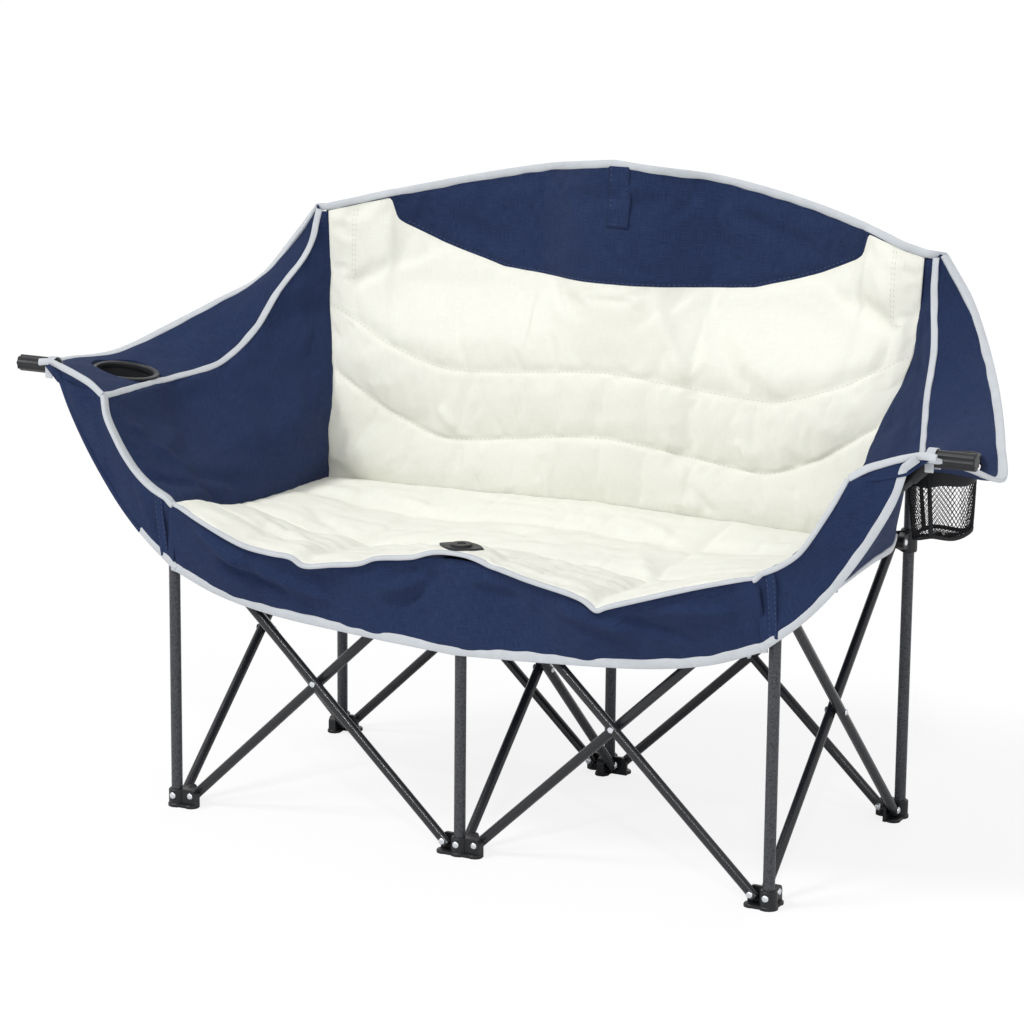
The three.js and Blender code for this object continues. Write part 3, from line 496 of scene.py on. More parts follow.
def unit(vectors: Points) -> Points:
    """Returns the vectors with length 1."""
    return vectors / np.maximum(np.linalg.norm(vectors, axis=-1, keepdims=True), 1e-12)


def stacked(*parts: np.ndarray | float) -> Points:
    """Returns points from their three coordinates, each an array or a number."""
    return np.stack(np.broadcast_arrays(*parts), axis=1).astype(float)


def lengths_along(path: Points) -> np.ndarray:
    """Returns how far along a path each of its points lies."""
    return np.concatenate([[0], np.cumsum(np.linalg.norm(np.diff(path, axis=0), axis=1))])


def smoothstep(value: np.ndarray, low: float, high: float) -> np.ndarray:
    """Runs smoothly from 0 at low to 1 at high."""
    share = np.clip((value - low) / (high - low), 0, 1)
    return share * share * (3 - 2 * share)


def ripple(points: Points, wavelength: float, seed: int, stretch: tuple = (1, 1, 1)) -> np.ndarray:
    """Gives smooth noise of about -1 to 1 at points.

    Args:
        points: Where it is wanted.
        wavelength: The mean distance between crests.
        seed: Which of the patterns.
        stretch: How much finer the pattern is along each axis.

    Returns:
        One value for each point.
    """
    source = np.random.default_rng(seed)
    total = np.zeros(len(points))
    for _ in range(7):
        direction = unit(source.normal(size=3)) * np.array(stretch)
        turns = 2 * math.pi / (wavelength * source.uniform(0.7, 1.4))
        total += np.sin(points @ direction * turns + source.uniform(0, 2 * math.pi))
    return total / 3


@dataclass(frozen=True)
class Folds:
    """Soft folds that stand up from cloth, or sink into it, along short lines.

    Each row has the start and end of a line on the plane that the cloth is seen on, and the fold's
    width and height, in millimetres.
    """

    rows: tuple[tuple[float, ...], ...]
    strength: float = 1.7

    def relief(self, plane: Points) -> np.ndarray:
        """Returns the folds' height at points on the plane."""
        total = np.zeros(len(plane))
        for row in np.array(self.rows) / 1000:
            start, along, (width, height) = row[:2], row[2:4] - row[:2], row[4:]
            share = ((plane - start) @ along) / (along @ along)
            nearest = start + np.clip(share, 0, 1)[:, None] * along
            distance = np.linalg.norm(plane - nearest, axis=1)
            fade = smoothstep(share, -0.15, 0.3) * (1 - smoothstep(share, 0.7, 1.15))
            total += self.strength * height * fade * np.exp(-((distance / width) ** 2))
        return total


class Seam:
    """A centripetal curve through a row of points, as the part's source draws it."""

    SMALL = 1e-4

    def __init__(self, points: Points) -> None:
        """Keeps the points, with one more beyond each end."""
        rows = np.asarray(points, float)
        self.count = len(rows) - 1
        self.points = np.vstack([2 * rows[0] - rows[1], rows, 2 * rows[-1] - rows[-2]])

    def __call__(self, t: np.ndarray) -> Points:
        """Returns the points at these shares of the curve."""
        place = np.clip(np.asarray(t, float), 0, 1) * self.count
        index = np.minimum(place.astype(int), self.count - 1)
        weight = (place - index)[:, None]
        p0, p1, p2, p3 = (self.points[index + k] for k in range(4))
        d0, d1, d2 = (
            np.sum((b - a) ** 2, axis=1, keepdims=True) ** 0.25
            for a, b in ((p0, p1), (p1, p2), (p2, p3))
        )
        d1 = np.where(d1 < self.SMALL, 1.0, d1)
        d0 = np.where(d0 < self.SMALL, d1, d0)
        d2 = np.where(d2 < self.SMALL, d1, d2)
        t1 = ((p1 - p0) / d0 - (p2 - p0) / (d0 + d1) + (p2 - p1) / d1) * d1
        t2 = ((p2 - p1) / d1 - (p3 - p1) / (d1 + d2) + (p3 - p2) / d2) * d1
        square = -3 * p1 + 3 * p2 - 2 * t1 - t2
        cube = 2 * p1 - 2 * p2 + t1 + t2
        return p1 + t1 * weight + square * weight**2 + cube * weight**3


def through(shares: tuple[float, ...], t: np.ndarray) -> np.ndarray:
    """Returns a value that runs smoothly through evenly spaced shares."""
    return Seam(np.array(shares)[:, None])(t)[:, 0]


def patch(bottom: Curve, top: Curve, start: Curve, end: Curve) -> Surface:
    """Returns a surface through four edges that meet at its corners."""
    ends = np.array([0.0, 1.0])
    low, high = bottom(ends), top(ends)

    def surface(u: np.ndarray, v: np.ndarray) -> Points:
        """Returns the patch's points."""
        a, b = u[:, None], v[:, None]
        ruled = bottom(u) * (1 - b) + top(u) * b + start(v) * (1 - a) + end(v) * a
        corners = (1 - a) * (1 - b) * low[0] + a * (1 - b) * low[1]
        return ruled - corners - (1 - a) * b * high[0] - a * b * high[1]

    return surface


@dataclass(frozen=True)
class SlingShape:
    """The lines that the padded sling hangs along.

    Shares are of the post pitch, the half depth, and the rise from a hub to an arm.
    """

    shift: float
    pitch: float = 0.460
    half_depth: float = 0.230
    hub_height: float = 0.405
    arm_rise: float = 0.213
    seam_gap: float = 0.0004
    side_lap: float = 0.0045
    seat_lap: float = 0.0035
    seat_sag: float = 0.014
    quilt_puff: float = 0.006
    back_rise: float = 0.496
    crest_rise: float = 0.102
    crest_reach: float = 1.07
    crest_exponent: float = 1.3
    post_margin: float = 0.016
    bay_peak: float = 0.535
    grommet_depth: float = 0.046
    grommet_length: float = 0.068
    grommet_seat: float = 0.430
    seat_thickness: float = 0.010
    back_thickness: float = 0.012
    back_at_post: float = 0.005
    side_thickness: float = 0.007
    arm_thickness: float = 0.009
    sheet_thickness: float = 0.0025
    seat_channels: int = 4
    tape_cover: float = 0.008
    # fmt: off
    seat_rear: tuple = (
        (0, 0.77, 0.056), (0.162, 0.755, 0.052), (0.323, 0.74, 0.046), (0.485, 0.725, 0.042),
        (0.647, 0.72, 0.036), (0.808, 0.72, 0.028), (0.97, 0.717, 0.019),
    )
    seat_side: tuple = (
        (0.959, -1.13, 0.211), (0.95, -0.87, 0.178), (0.95, -0.6, 0.09), (0.95, -0.17, 0.042),
        (0.957, 0.33, 0.033), (0.97, 0.717, 0.019),
    )
    side_front: tuple = (
        (0.959, -1.13, 0.211), (1.035, -1.135, 0.29), (1.09, -1.13, 0.38), (1.13, -1.14, 0.49),
        (1.165, -1.14, 0.61), (1.197, -1.13, 0.73), (1.222, -1.087, 0.854),
    )
    back_side: tuple = (
        (0.97, 0.717, 0.019), (0.955, 0.68, 0.35), (0.945, 0.69, 0.667), (0.963, 0.76, 0.87),
        (0.985, 0.835, 1.06), (1.008, 0.89, 1.258), (1.014, 0.92, 1.46), (1.023, 0.93, 1.87),
    )
    ridge_line: tuple = (
        (1.063, 0.935, 1.854), (1.083, 0.839, 1.582), (1.128, 0.63, 1.329), (1.154, 0.404, 1.066),
        (1.2, 0.135, 0.878), (1.255, -0.213, 0.826), (1.254, -0.435, 0.831),
        (1.246, -0.717, 0.836), (1.222, -1.087, 0.854),
    )
    wing_edge: tuple = (
        (1.09, 0.99, 1.897), (1.18, 0.948, 1.638), (1.257, 0.817, 1.385), (1.333, 0.552, 1.249),
        (1.404, 0.27, 1.122), (1.5, -0.174, 0.96), (1.56, -0.5, 0.955), (1.5, -0.82, 1.0),
        (1.452, -1.052, 1.035),
    )
    gusset_hem: tuple = (
        (0.975, -1.06, -0.262), (1.09, -1.06, -0.06), (1.17, -1.06, 0.12), (1.24, -1.06, 0.32),
        (1.3, -1.06, 0.52), (1.355, -1.06, 0.74), (1.39, -1.075, 0.95),
    )
    gusset_end: tuple = ((1.425, -1.095, 1.01),)
    apron_hem: tuple = (
        (0, -1.06, -0.559), (0.33, -1.06, -0.52), (0.65, -1.06, -0.46), (0.83, -1.06, -0.38),
        (0.975, -1.06, -0.262),
    )
    skirt_hem: tuple = (
        (1.175, -0.98, 0.14), (1.1, -0.62, 0.05), (1.05, -0.23, 0.0), (1.045, 0.2, 0.03),
        (1.03, 0.55, 0.02), (0.995, 0.8, 0.03),
    )
    front_drape: tuple = (
        (-0.959, -1.13, 0.211), (-0.816, -1.22, 0.118), (-0.687, -1.216, 0.01),
        (-0.592, -1.205, -0.021), (-0.524, -1.199, -0.032), (-0.484, -1.195, -0.075),
        (-0.393, -1.176, -0.052), (-0.3, -1.156, -0.023), (-0.252, -1.147, 0.02),
        (-0.162, -1.13, 0.045), (-0.07, -1.124, 0.074), (0.082, -1.125, 0.078),
        (0.259, -1.148, 0.01), (0.439, -1.186, -0.054), (0.489, -1.196, -0.108),
        (0.515, -1.198, -0.084), (0.623, -1.208, -0.003), (0.816, -1.22, 0.135),
        (0.959, -1.13, 0.211),
    )
    wing_drape: tuple = ((1.56, -0.5, 0.82), (1.515, -0.78, 0.93), (1.452, -1.05, 1.03))
    tip_edge: tuple = (
        (1.222, -1.087, 0.872), (1.272, -1.083, 0.945), (1.316, -1.078, 0.982),
        (1.356, -1.072, 1.012), (1.39, -1.066, 1.033), (1.43, -1.06, 1.052),
        (1.468, -1.055, 1.045),
    )
    back_at_centre: tuple = (0.77, 0.81, 0.865, 0.915, 0.925, 0.925)
    back_in_bay: tuple = (0.72, 0.86, 0.885, 1.12, 1.217, 1.21)
    lower_quilt: tuple = (0.202, 0.167, 0.149, 0.212, 0.339)
    upper_quilt: tuple = (0.389, 0.363, 0.353, 0.407, 0.524)
    patch_line: tuple = (
        (0.0, 0.729), (0.125, 0.729), (0.164, 0.731), (0.201, 0.734), (0.229, 0.742),
        (0.266, 0.752), (0.300, 0.763), (0.330, 0.776), (0.359, 0.789), (0.374, 0.800),
        (0.379, 0.9),
    )
    # fmt: on

    def place(self, shares: tuple, hand: int = 1) -> Points:
        """Returns the points at these shares, on one hand."""
        scale = np.array([hand * self.pitch, self.half_depth, self.arm_rise])
        return np.asarray(shares, float) * scale + np.array([0, self.shift, self.hub_height])

    def seam(self, shares: tuple, hand: int) -> Seam:
        """Returns the curve through these shares, on one hand."""
        return Seam(self.place(shares, hand))

    def mirrored(self, shares: tuple) -> Curve:
        """Returns an edge that runs from left to right through the same shares on both sides."""
        left, right = self.seam(shares, -1), self.seam(shares, 1)
        return lambda u: np.where(u[:, None] < 0.5, left(1 - 2 * u), right(2 * u - 1))

    def front_edge(self, u: np.ndarray) -> Points:
        """Returns the seat's front edge, its points evenly spaced along X."""
        line = self.seam(self.front_drape, 1)(np.linspace(0, 1, 361))
        x = line[0, 0] + (line[-1, 0] - line[0, 0]) * u
        return stacked(x, *(np.interp(x, line[:, 0], line[:, k]) for k in (1, 2)))

    def seat(self, u: np.ndarray, v: np.ndarray) -> Points:
        """Returns the top of the seat."""
        sides = (self.seam(self.seat_side, hand) for hand in (-1, 1))
        points = patch(self.front_edge, self.mirrored(self.seat_rear), *sides)(u, v)
        x = points[:, 0]
        wave = 0.016 * np.sin(x * 19) + 0.009 * np.sin(x * 43 + 1.3)
        lane = (v + wave * np.sin(np.pi * v) * np.abs(np.sin(2 * np.pi * v))) * self.seat_channels
        channel = np.abs(np.sin(np.pi * lane)) ** 0.6 * self.quilt_puff
        edge = np.minimum(1, np.sin(np.pi * u) * 5)
        points[:, 2] += channel * edge - self.seat_sag * np.sin(np.pi * v) * np.sin(np.pi * u)
        share = 2 * u - 1
        points[:, 0] += self.seat_lap * np.sign(share) * smoothstep(np.abs(share), 0.97, 1)
        from_stem = np.hypot(x, points[:, 1] - self.shift + self.half_depth)
        slack = smoothstep(from_stem, self.grommet_depth / 2, self.grommet_length)
        points[:, 2] = self.grommet_seat * (1 - slack) + points[:, 2] * slack
        return points

    @property
    def back_foot(self) -> float:
        """The height of the back's lower corners."""
        return self.place(self.back_side)[0, 2]

    def crest(self, across: np.ndarray) -> np.ndarray:
        """Returns the height of the back's top edge at shares of its half width."""
        fall = self.crest_rise * (across / self.crest_reach) ** self.crest_exponent
        return self.back_foot + self.back_rise - fall

    def back_depth(self, x: np.ndarray, z: np.ndarray) -> np.ndarray:
        """Returns how far along Y the unpadded back lies at a place and height."""
        side = self.back_side_at(z)
        distance = np.abs(x)
        across = np.clip(distance / side[:, 0], 0, 1)
        level = (z - self.back_foot) / self.back_rise
        centre, middle = (
            self.half_depth * through(line, level) + self.shift
            for line in (self.back_at_centre, self.back_in_bay)
        )
        straight = centre * (1 - across) + side[:, 1] * across
        return straight + (middle - (centre + side[:, 1]) / 2) * self.bay(distance)

    def back_side_at(self, z: np.ndarray) -> Points:
        """Returns where the back's side seam is at a height, on the right."""
        line = self.seam(self.back_side, 1)(np.linspace(0, 1, 181))
        return np.stack([np.interp(z, line[:, 2], line[:, k]) for k in range(2)], axis=1)

    def bay(self, distance: np.ndarray) -> np.ndarray:
        """Returns how far into the hollow between two posts a distance is, from 0 to 1."""
        room = self.pitch - 2 * self.post_margin
        step = np.clip((distance - self.post_margin) / room, 0, 1)
        return np.sqrt(step) * (1 - step * step) / self.bay_peak * smoothstep(step, 0, 0.3)

    def back(self, u: np.ndarray, v: np.ndarray) -> Points:
        """Returns the front of the back.

        It has four bands between the seat, two quilting seams, the patch's edge and the crest.
        """
        share = 2 * u - 1
        across = np.abs(share)
        seat = self.mirrored(self.seat_rear)(u)
        crest = self.crest(across)
        soft = 0.14
        along = (np.hypot(across, soft) - soft) / (math.hypot(1, soft) - soft)
        lower, upper = (
            self.back_foot + self.back_rise * through(quilt, along)
            for quilt in (self.lower_quilt, self.upper_quilt)
        )
        line = np.array(self.patch_line)
        width = across * self.back_side_at(crest)[:, 0]
        patch_edge = np.minimum(np.interp(width, line[:, 0], line[:, 1]), crest - self.tape_cover)
        levels = np.stack([seat[:, 2], lower, upper, patch_edge, crest], axis=1)
        place = v * 4
        band = np.minimum(place.astype(int), 3)
        rows = np.arange(len(u))
        low, high = levels[rows, band], levels[rows, band + 1]
        height = low + (high - low) * (place - band)
        distance = across * self.back_side_at(height)[:, 0]
        x = np.sign(share) * (distance + self.side_lap * across)
        fullness = np.minimum(1, np.maximum(0.7 * (distance < 0.2), self.bay(distance) * 3))
        puff = np.where(v < 0.5, np.abs(np.sin(4 * np.pi * v)) ** 0.55, 0) * self.quilt_puff
        puff += np.where(v >= 0.5, np.sin(np.pi * (2 * v - 1)), 0) * self.quilt_puff * 0.5
        y = self.back_depth(x, height) - puff * fullness
        rise = smoothstep(v, 0, 0.06)
        y = (seat[:, 1] + 0.001) * (1 - rise) + y * rise
        height = height - 0.008 * (1 - smoothstep(v, 0, 0.028))
        return stacked(x, y, height + self.seam_gap)

    def back_offset(self, u: np.ndarray, v: np.ndarray) -> Points:
        """Returns the way from the front of the back to its rear, thin along its edges."""
        distance = np.abs(2 * u - 1) * self.pitch
        fullness = np.minimum(1, self.bay(distance) * 3)
        thick = self.back_at_post + (self.back_thickness - self.back_at_post) * fullness
        edge = np.minimum(smoothstep(1 - v, 0, 0.07), smoothstep(v, -0.02, 0.05))
        return stacked(0 * u, 0.004 + (thick - 0.004) * edge, 0)

    def seat_offset(self, u: np.ndarray, v: np.ndarray) -> Points:
        """Returns the way from the top of the seat to its underside."""
        edge = smoothstep(np.minimum(v, np.minimum(u, 1 - u) * 2), 0, 0.06)
        return stacked(0 * u, 0, -(0.005 + (self.seat_thickness - 0.005) * edge))

    def side(self, hand: int) -> Surface:
        """Returns the inner face of a side panel, from its front edge back and from the seat up."""
        top = self.ridge_line[::-1] + self.back_side[-1:]
        lines = (self.seat_side, top, self.side_front, self.back_side)
        face = patch(*(self.seam(line, hand) for line in lines))

        def surface(u: np.ndarray, v: np.ndarray) -> Points:
            """Returns the panel's points, tucked behind the back and beside the seat."""
            points = face(u, v)
            points[:, 1] += 0.005 * smoothstep(u, 0.95, 1)
            points[:, 2] -= 0.005 * (1 - smoothstep(v, 0, 0.06))
            return points

        return surface

    def side_offset(self, hand: int) -> Surface:
        """Returns the way from the inner face of a side panel to its outer face."""

        def offset(u: np.ndarray, v: np.ndarray) -> Points:
            """Returns the offsets."""
            low = stacked(hand + 0 * u, u**4, -(1 - u) / 2)
            high = stacked(0.7 * hand + 0 * u, 0.5 * u, -0.7 + 0.3 * u)
            top = smoothstep(v, 0.85, 1)[:, None]
            edge = smoothstep(np.minimum(v, np.minimum(u, 1 - v)), -0.01, 0.08)[:, None]
            return (low * (1 - top) + high * top) * (0.003 + (self.side_thickness - 0.003) * edge)

        return offset

    def arm(self, hand: int) -> Surface:
        """Returns the top of an arm and its wing, from the back forward and from the ridge out."""
        line = self.wing_edge[:-3] + self.wing_drape if hand > 0 else self.wing_edge
        ridge, edge = self.seam(self.ridge_line, hand), self.seam(line, hand)

        def surface(u: np.ndarray, v: np.ndarray) -> Points:
            """Returns the arm's points."""
            points = ridge(u) * (1 - v[:, None]) + edge(u) * v[:, None]
            points[:, 2] += np.sin(np.pi * v) * 0.005
            return points

        return surface

    def arm_offset(self, u: np.ndarray, v: np.ndarray) -> Points:
        """Returns the way from the top of an arm to its underside."""
        turn = np.minimum(1, 2 * u)[:, None]
        lean = np.array([0, 0.7, -0.7]) * (1 - turn) + np.array([0, 0, -1.0]) * turn
        edge = smoothstep(np.minimum(v, 1 - v), -0.02, 0.2)
        return lean * ((0.003 + (self.arm_thickness - 0.003) * edge) * (1 - 0.6 * u**4))[:, None]

    def apron(self, u: np.ndarray, v: np.ndarray) -> Points:
        """Returns the back of the apron, from its hem up to the seat's front edge."""
        tucked = np.minimum(1, 8 * np.sin(np.pi * u))[:, None]
        top = self.front_edge(u) + tucked * np.array([0, 0.008, -0.003])
        hem = self.mirrored(self.apron_hem)(u)
        points = hem * (1 - v[:, None]) + top * v[:, None]
        tuck = smoothstep(v, 0.8, 1)
        points[:, 1] = np.minimum(points[:, 1], hem[:, 1]) * (1 - tuck) + points[:, 1] * tuck
        lap = smoothstep(np.abs(2 * u - 1), 0.982, 1)
        points += lap[:, None] * np.array([0, 0.0016, 0])
        points[:, 0] += 0.007 * lap * np.sign(2 * u - 1)
        return points

    def gusset(self, hand: int) -> Surface:
        """Returns the back of a gusset, from the apron up and from its hem in to the side panel."""
        inner, outer = self.seam(self.side_front, hand), self.seam(self.gusset_hem, hand)

        def surface(u: np.ndarray, v: np.ndarray) -> Points:
            """Returns the gusset's points."""
            points = outer(u) * (1 - v[:, None]) + inner(u) * v[:, None]
            points[:, 1] -= 0.001 * v * smoothstep(u, 0.02, 0.2)
            return points

        return surface

    def tip(self, hand: int) -> Surface:
        """Returns the front of the cloth between a gusset's top and the front edge of the arm."""
        edge = self.seam(self.tip_edge, hand)
        inner, outer = (self.place(line[-1:], hand) for line in (self.side_front, self.gusset_hem))

        def surface(u: np.ndarray, v: np.ndarray) -> Points:
            """Returns the tip's points."""
            low = inner * (1 - u[:, None]) + outer * u[:, None] - np.array([0, 0.0045, 0.008])
            return low * (1 - v[:, None]) + edge(u) * v[:, None]

        return surface

    def skirt(self, hand: int) -> Surface:
        """Returns the outer cloth of a side, from its hem up to the side panel."""
        side, offset, hem = self.side(hand), self.side_offset(hand), self.seam(self.skirt_hem, hand)

        def surface(u: np.ndarray, v: np.ndarray) -> Points:
            """Returns the skirt's points."""
            level = 0.62 + 0 * u
            top = side(u, level) + offset(u, level) * 1.6
            points = hem(u) * (1 - v[:, None]) + top * v[:, None]
            points[:, 0] += hand * 0.012 * np.sin(np.pi * v) * np.sin(np.pi * u)
            return points

        return surface


@dataclass
class PadSimulation:
    """A short cloth simulation that swells padded cloth between its sewn lines."""

    frames: int = 20
    pressure: float = 4.0
    ease: float = 0.012
    cap: float = 0.006

    def relax(self, piece: Piece, sewn: np.ndarray) -> Points:
        """Lets one face of a pad swell, with its sewn points held.

        Args:
            piece: The open sheet, its faces pointing outwards.
            sewn: Which of its points are held.

        Returns:
            The new places of its points, none of them moved further than the cap.
        """
        start = np.array([vert.co for vert in piece.data.vertices])
        group = piece.vertex_groups.new(name="sewn")
        group.add([int(i) for i in np.flatnonzero(sewn)], 1.0, "REPLACE")
        cloth = piece.modifiers.new("swell", "CLOTH")
        values = {
            "quality": 4,
            "mass": 0.25,
            "tension_stiffness": 12,
            "compression_stiffness": 12,
            "shear_stiffness": 6,
            "bending_stiffness": 0.35,
            "air_damping": 4,
            "use_pressure": True,
            "uniform_pressure_force": self.pressure,
            "vertex_group_mass": group.name,
            "pin_stiffness": 1,
            "shrink_min": -self.ease,
        }
        for name, value in values.items():
            setattr(cloth.settings, name, value)
        cloth.settings.effector_weights.gravity = 0
        cloth.collision_settings.use_collision = False
        cloth.point_cache.frame_start, cloth.point_cache.frame_end = 1, self.frames
        scene = bpy.context.scene
        for frame_number in range(1, self.frames + 1):
            scene.frame_set(frame_number)
        swollen = piece.evaluated_get(bpy.context.evaluated_depsgraph_get())
        end = np.array([vert.co for vert in swollen.to_mesh().vertices])
        swollen.to_mesh_clear()
        scene.frame_set(1)
        move = end - start
        length = np.linalg.norm(move, axis=1, keepdims=True)
        return start + move * np.minimum(1, self.cap / np.maximum(length, 1e-9))


@dataclass
class ClothPanel:
    """A sewn panel: a face that is seen, and a second face behind it.

    Attributes:
        name: The piece's name.
        size: Faces across and up.
        face: The face that is seen.
        offset: The way from it to the hidden face.
        flat: The panel's flat width and height, for the weave.
        relief: The height of folds above the face at its shares and points, or None.
        sewn: Which points are sewn down, by their shares, or None where only the edges are.
        swell: The simulation that fills it, or None for plain cloth.
        levels: How often its faces are divided at the end.
    """

    name: str
    size: tuple[int, int]
    face: Surface
    offset: Surface
    flat: tuple[float, float]
    relief: Callable[[np.ndarray, np.ndarray, Points], np.ndarray] | None = None
    sewn: Callable[[np.ndarray, np.ndarray], np.ndarray] | None = None
    swell: PadSimulation | None = None
    levels: int = 1

    def build(
        self,
        front: Material,
        behind: Material,
        slot: Slot,
        patch_rows: float = 2.0,
        patch_finish: Material | None = None,
    ) -> Piece:
        """Builds the panel.

        Args:
            front: The cloth of the seen face.
            behind: The cloth of the hidden face and the edges.
            slot: The record's material slot.
            patch_rows: The share up from which the seen face has another cloth.
            patch_finish: That cloth.

        Returns:
            The closed panel.
        """
        bm, u, v = grid(*self.size)
        points, offsets = self.face(u, v), self.offset(u, v)
        lay_cloth_map(bm, u * self.flat[0], v * self.flat[1])
        hidden_points = points + offsets
        outward = self.settle(bm, points)
        if float(np.sum(outward * offsets)) > 0:
            bmesh.ops.reverse_faces(bm, faces=bm.faces)
            outward = -outward
        if self.swell is not None:
            points = self.swollen(bm, u, v)
            outward = self.settle(bm, points)
        height = 0 * u if self.relief is None else self.relief(u, v, points)
        spread(bm, points + outward * height[:, None])
        thick = np.linalg.norm(offsets, axis=1)
        dent = np.minimum(height + np.maximum(thick - 0.003, 0), 0)
        hidden_points += outward * (height if thick.max() < 0.004 else dent)[:, None]
        self.close(bm, v, hidden_points, patch_rows if patch_finish else 2.0)
        cloths = [front, behind] + ([patch_finish] if patch_finish else [])
        piece = finished(self.name, bm, cloths, slot)
        if self.levels:
            rounding = piece.modifiers.new("rounding", "SUBSURF")
            rounding.levels = rounding.render_levels = self.levels
            rounding.boundary_smooth = "PRESERVE_CORNERS"
        return piece

    @staticmethod
    def settle(bm: bmesh.types.BMesh, points: Points) -> Points:
        """Moves the face to these points and returns its normals there."""
        spread(bm, points)
        bm.normal_update()
        return np.array([vert.normal for vert in bm.verts])

    @staticmethod
    def close(bm: bmesh.types.BMesh, v: np.ndarray, hidden: Points, patch_rows: float) -> None:
        """Adds the hidden face and the edges, and numbers the faces' materials."""
        order = bm.verts.layers.int.new("order")
        for vert in bm.verts:
            vert[order] = vert.index
        for face in bm.faces:
            if np.mean([v[vert.index] for vert in face.verts]) > patch_rows:
                face.material_index = 2
        made = bmesh.ops.extrude_face_region(bm, geom=list(bm.faces), use_keep_orig=True)
        behind = {item for item in made["geom"] if isinstance(item, bmesh.types.BMVert)}
        for vert in behind:
            vert.co = hidden[vert[order]]
        for face in bm.faces:
            if any(vert in behind for vert in face.verts):
                face.material_index = 1
        bm.verts.layers.int.remove(order)
        bmesh.ops.recalc_face_normals(bm, faces=bm.faces)

    def swollen(self, bm: bmesh.types.BMesh, u: np.ndarray, v: np.ndarray) -> Points:
        """Returns the points of the seen face after its simulation."""
        mesh = bpy.data.meshes.new(f"{self.name}_swelling")
        bm.to_mesh(mesh)
        sheet = bpy.data.objects.new(mesh.name, mesh)
        bpy.context.scene.collection.objects.link(sheet)
        held = np.minimum(np.minimum(u, 1 - u), np.minimum(v, 1 - v)) < TINY
        points = self.swell.relax(sheet, held | self.sewn(u, v) if self.sewn else held)
        discard(sheet)
        return points


@dataclass(frozen=True)
class Tape:
    """A binding tape folded over the edge of a cloth, or laid along a ridge.

    Attributes:
        width: How far it reaches over the cloth.
        height: Its thickness with the cloth inside it.
        lip: How far it stands out beyond the edge.
        sides: Faces round its section.
    """

    width: float = 0.012
    height: float = 0.0055
    lip: float = 0.0015
    sides: int = 12

    def sweep(
        self,
        name: str,
        path: Points,
        inward: Points,
        finish: Material,
        slot: Slot = Slot.WEBBING,
        seed: int = 1,
    ) -> Piece:
        """Builds the tape along a path.

        Args:
            name: The piece's name.
            path: The points of the edge that it covers.
            inward: At each point, the way from the edge into the cloth.
            finish: The tape's material.
            slot: The record's material slot.
            seed: Which of the patterns its small waves follow.

        Returns:
            The closed tape.
        """
        bm, u, v = grid(len(path) - 1, self.sides)
        along = unit(np.gradient(path, axis=0))
        inside = unit(inward - along * np.sum(inward * along, axis=1, keepdims=True))
        normal = np.cross(along, inside)
        step = np.rint(u * (len(path) - 1)).astype(int)
        turn = 2 * math.pi * v
        flat = np.sign(np.cos(turn)) * np.abs(np.cos(turn)) ** 0.45
        thick = np.sign(np.sin(turn)) * np.abs(np.sin(turn)) ** 0.6
        waves = 1 + 0.07 * ripple(path, 0.05, seed)[step]
        reach = (flat + 1) / 2 * self.width * waves - self.lip
        points = path[step] + inside[step] * reach[:, None]
        points += normal[step] * (thick * self.height / 2)[:, None]
        lay_cloth_map(bm, lengths_along(path)[step], v * 2 * self.width)
        spread(bm, points)
        bmesh.ops.remove_doubles(bm, verts=bm.verts, dist=TINY)
        bmesh.ops.holes_fill(bm, edges=bm.edges, sides=0)
        bmesh.ops.recalc_face_normals(bm, faces=bm.faces)
        return finished(name, bm, finish, slot)


def shown_tree(piece: Piece) -> BVHTree:
    """Returns the faces of a piece as they are shown, to look points up on."""
    graph = bpy.context.evaluated_depsgraph_get()
    graph.update()
    return BVHTree.FromObject(piece, graph)


@dataclass(frozen=True)
class StitchRow:
    """A row of lockstitches: 5 mm long, 2.5 mm apart, drawn 0.9 mm thick so that they show."""

    length: float = 0.005
    gap: float = 0.0025
    radius: float = 0.00045

    def sew(
        self, name: str, lines: list[Points], cloth: Piece, finish: Material, slot: Slot
    ) -> Piece:
        """Sews rows of stitches onto a finished piece.

        Args:
            name: The name of the stitching.
            lines: The lines to follow, near the cloth.
            cloth: The piece that is sewn.
            finish: The thread.
            slot: The record's material slot.

        Returns:
            All the stitches as one piece.
        """
        tree = shown_tree(cloth)
        bm = bmesh.new()
        for line in lines:
            run = lengths_along(line)
            for start in np.arange(self.gap, run[-1] - self.length, self.length + self.gap):
                ends = [
                    Vector([np.interp(s, run, line[:, k]) for k in range(3)])
                    for s in (start, start + self.length)
                ]
                (a, first, *_), (b, last, *_) = (tree.find_nearest(end) for end in ends)
                middle = (a + b) / 2 + (first + last).normalized() * self.radius * 0.35
                turn = (b - a).to_track_quat("X", "Z").to_matrix().to_4x4()
                scale = Matrix.Diagonal(((b - a).length / 2, self.radius, self.radius, 1))
                matrix = Matrix.Translation(middle) @ turn @ scale
                bmesh.ops.create_icosphere(bm, subdivisions=1, radius=1, matrix=matrix)
        return finished(name, bm, finish, slot)


# The padded sling


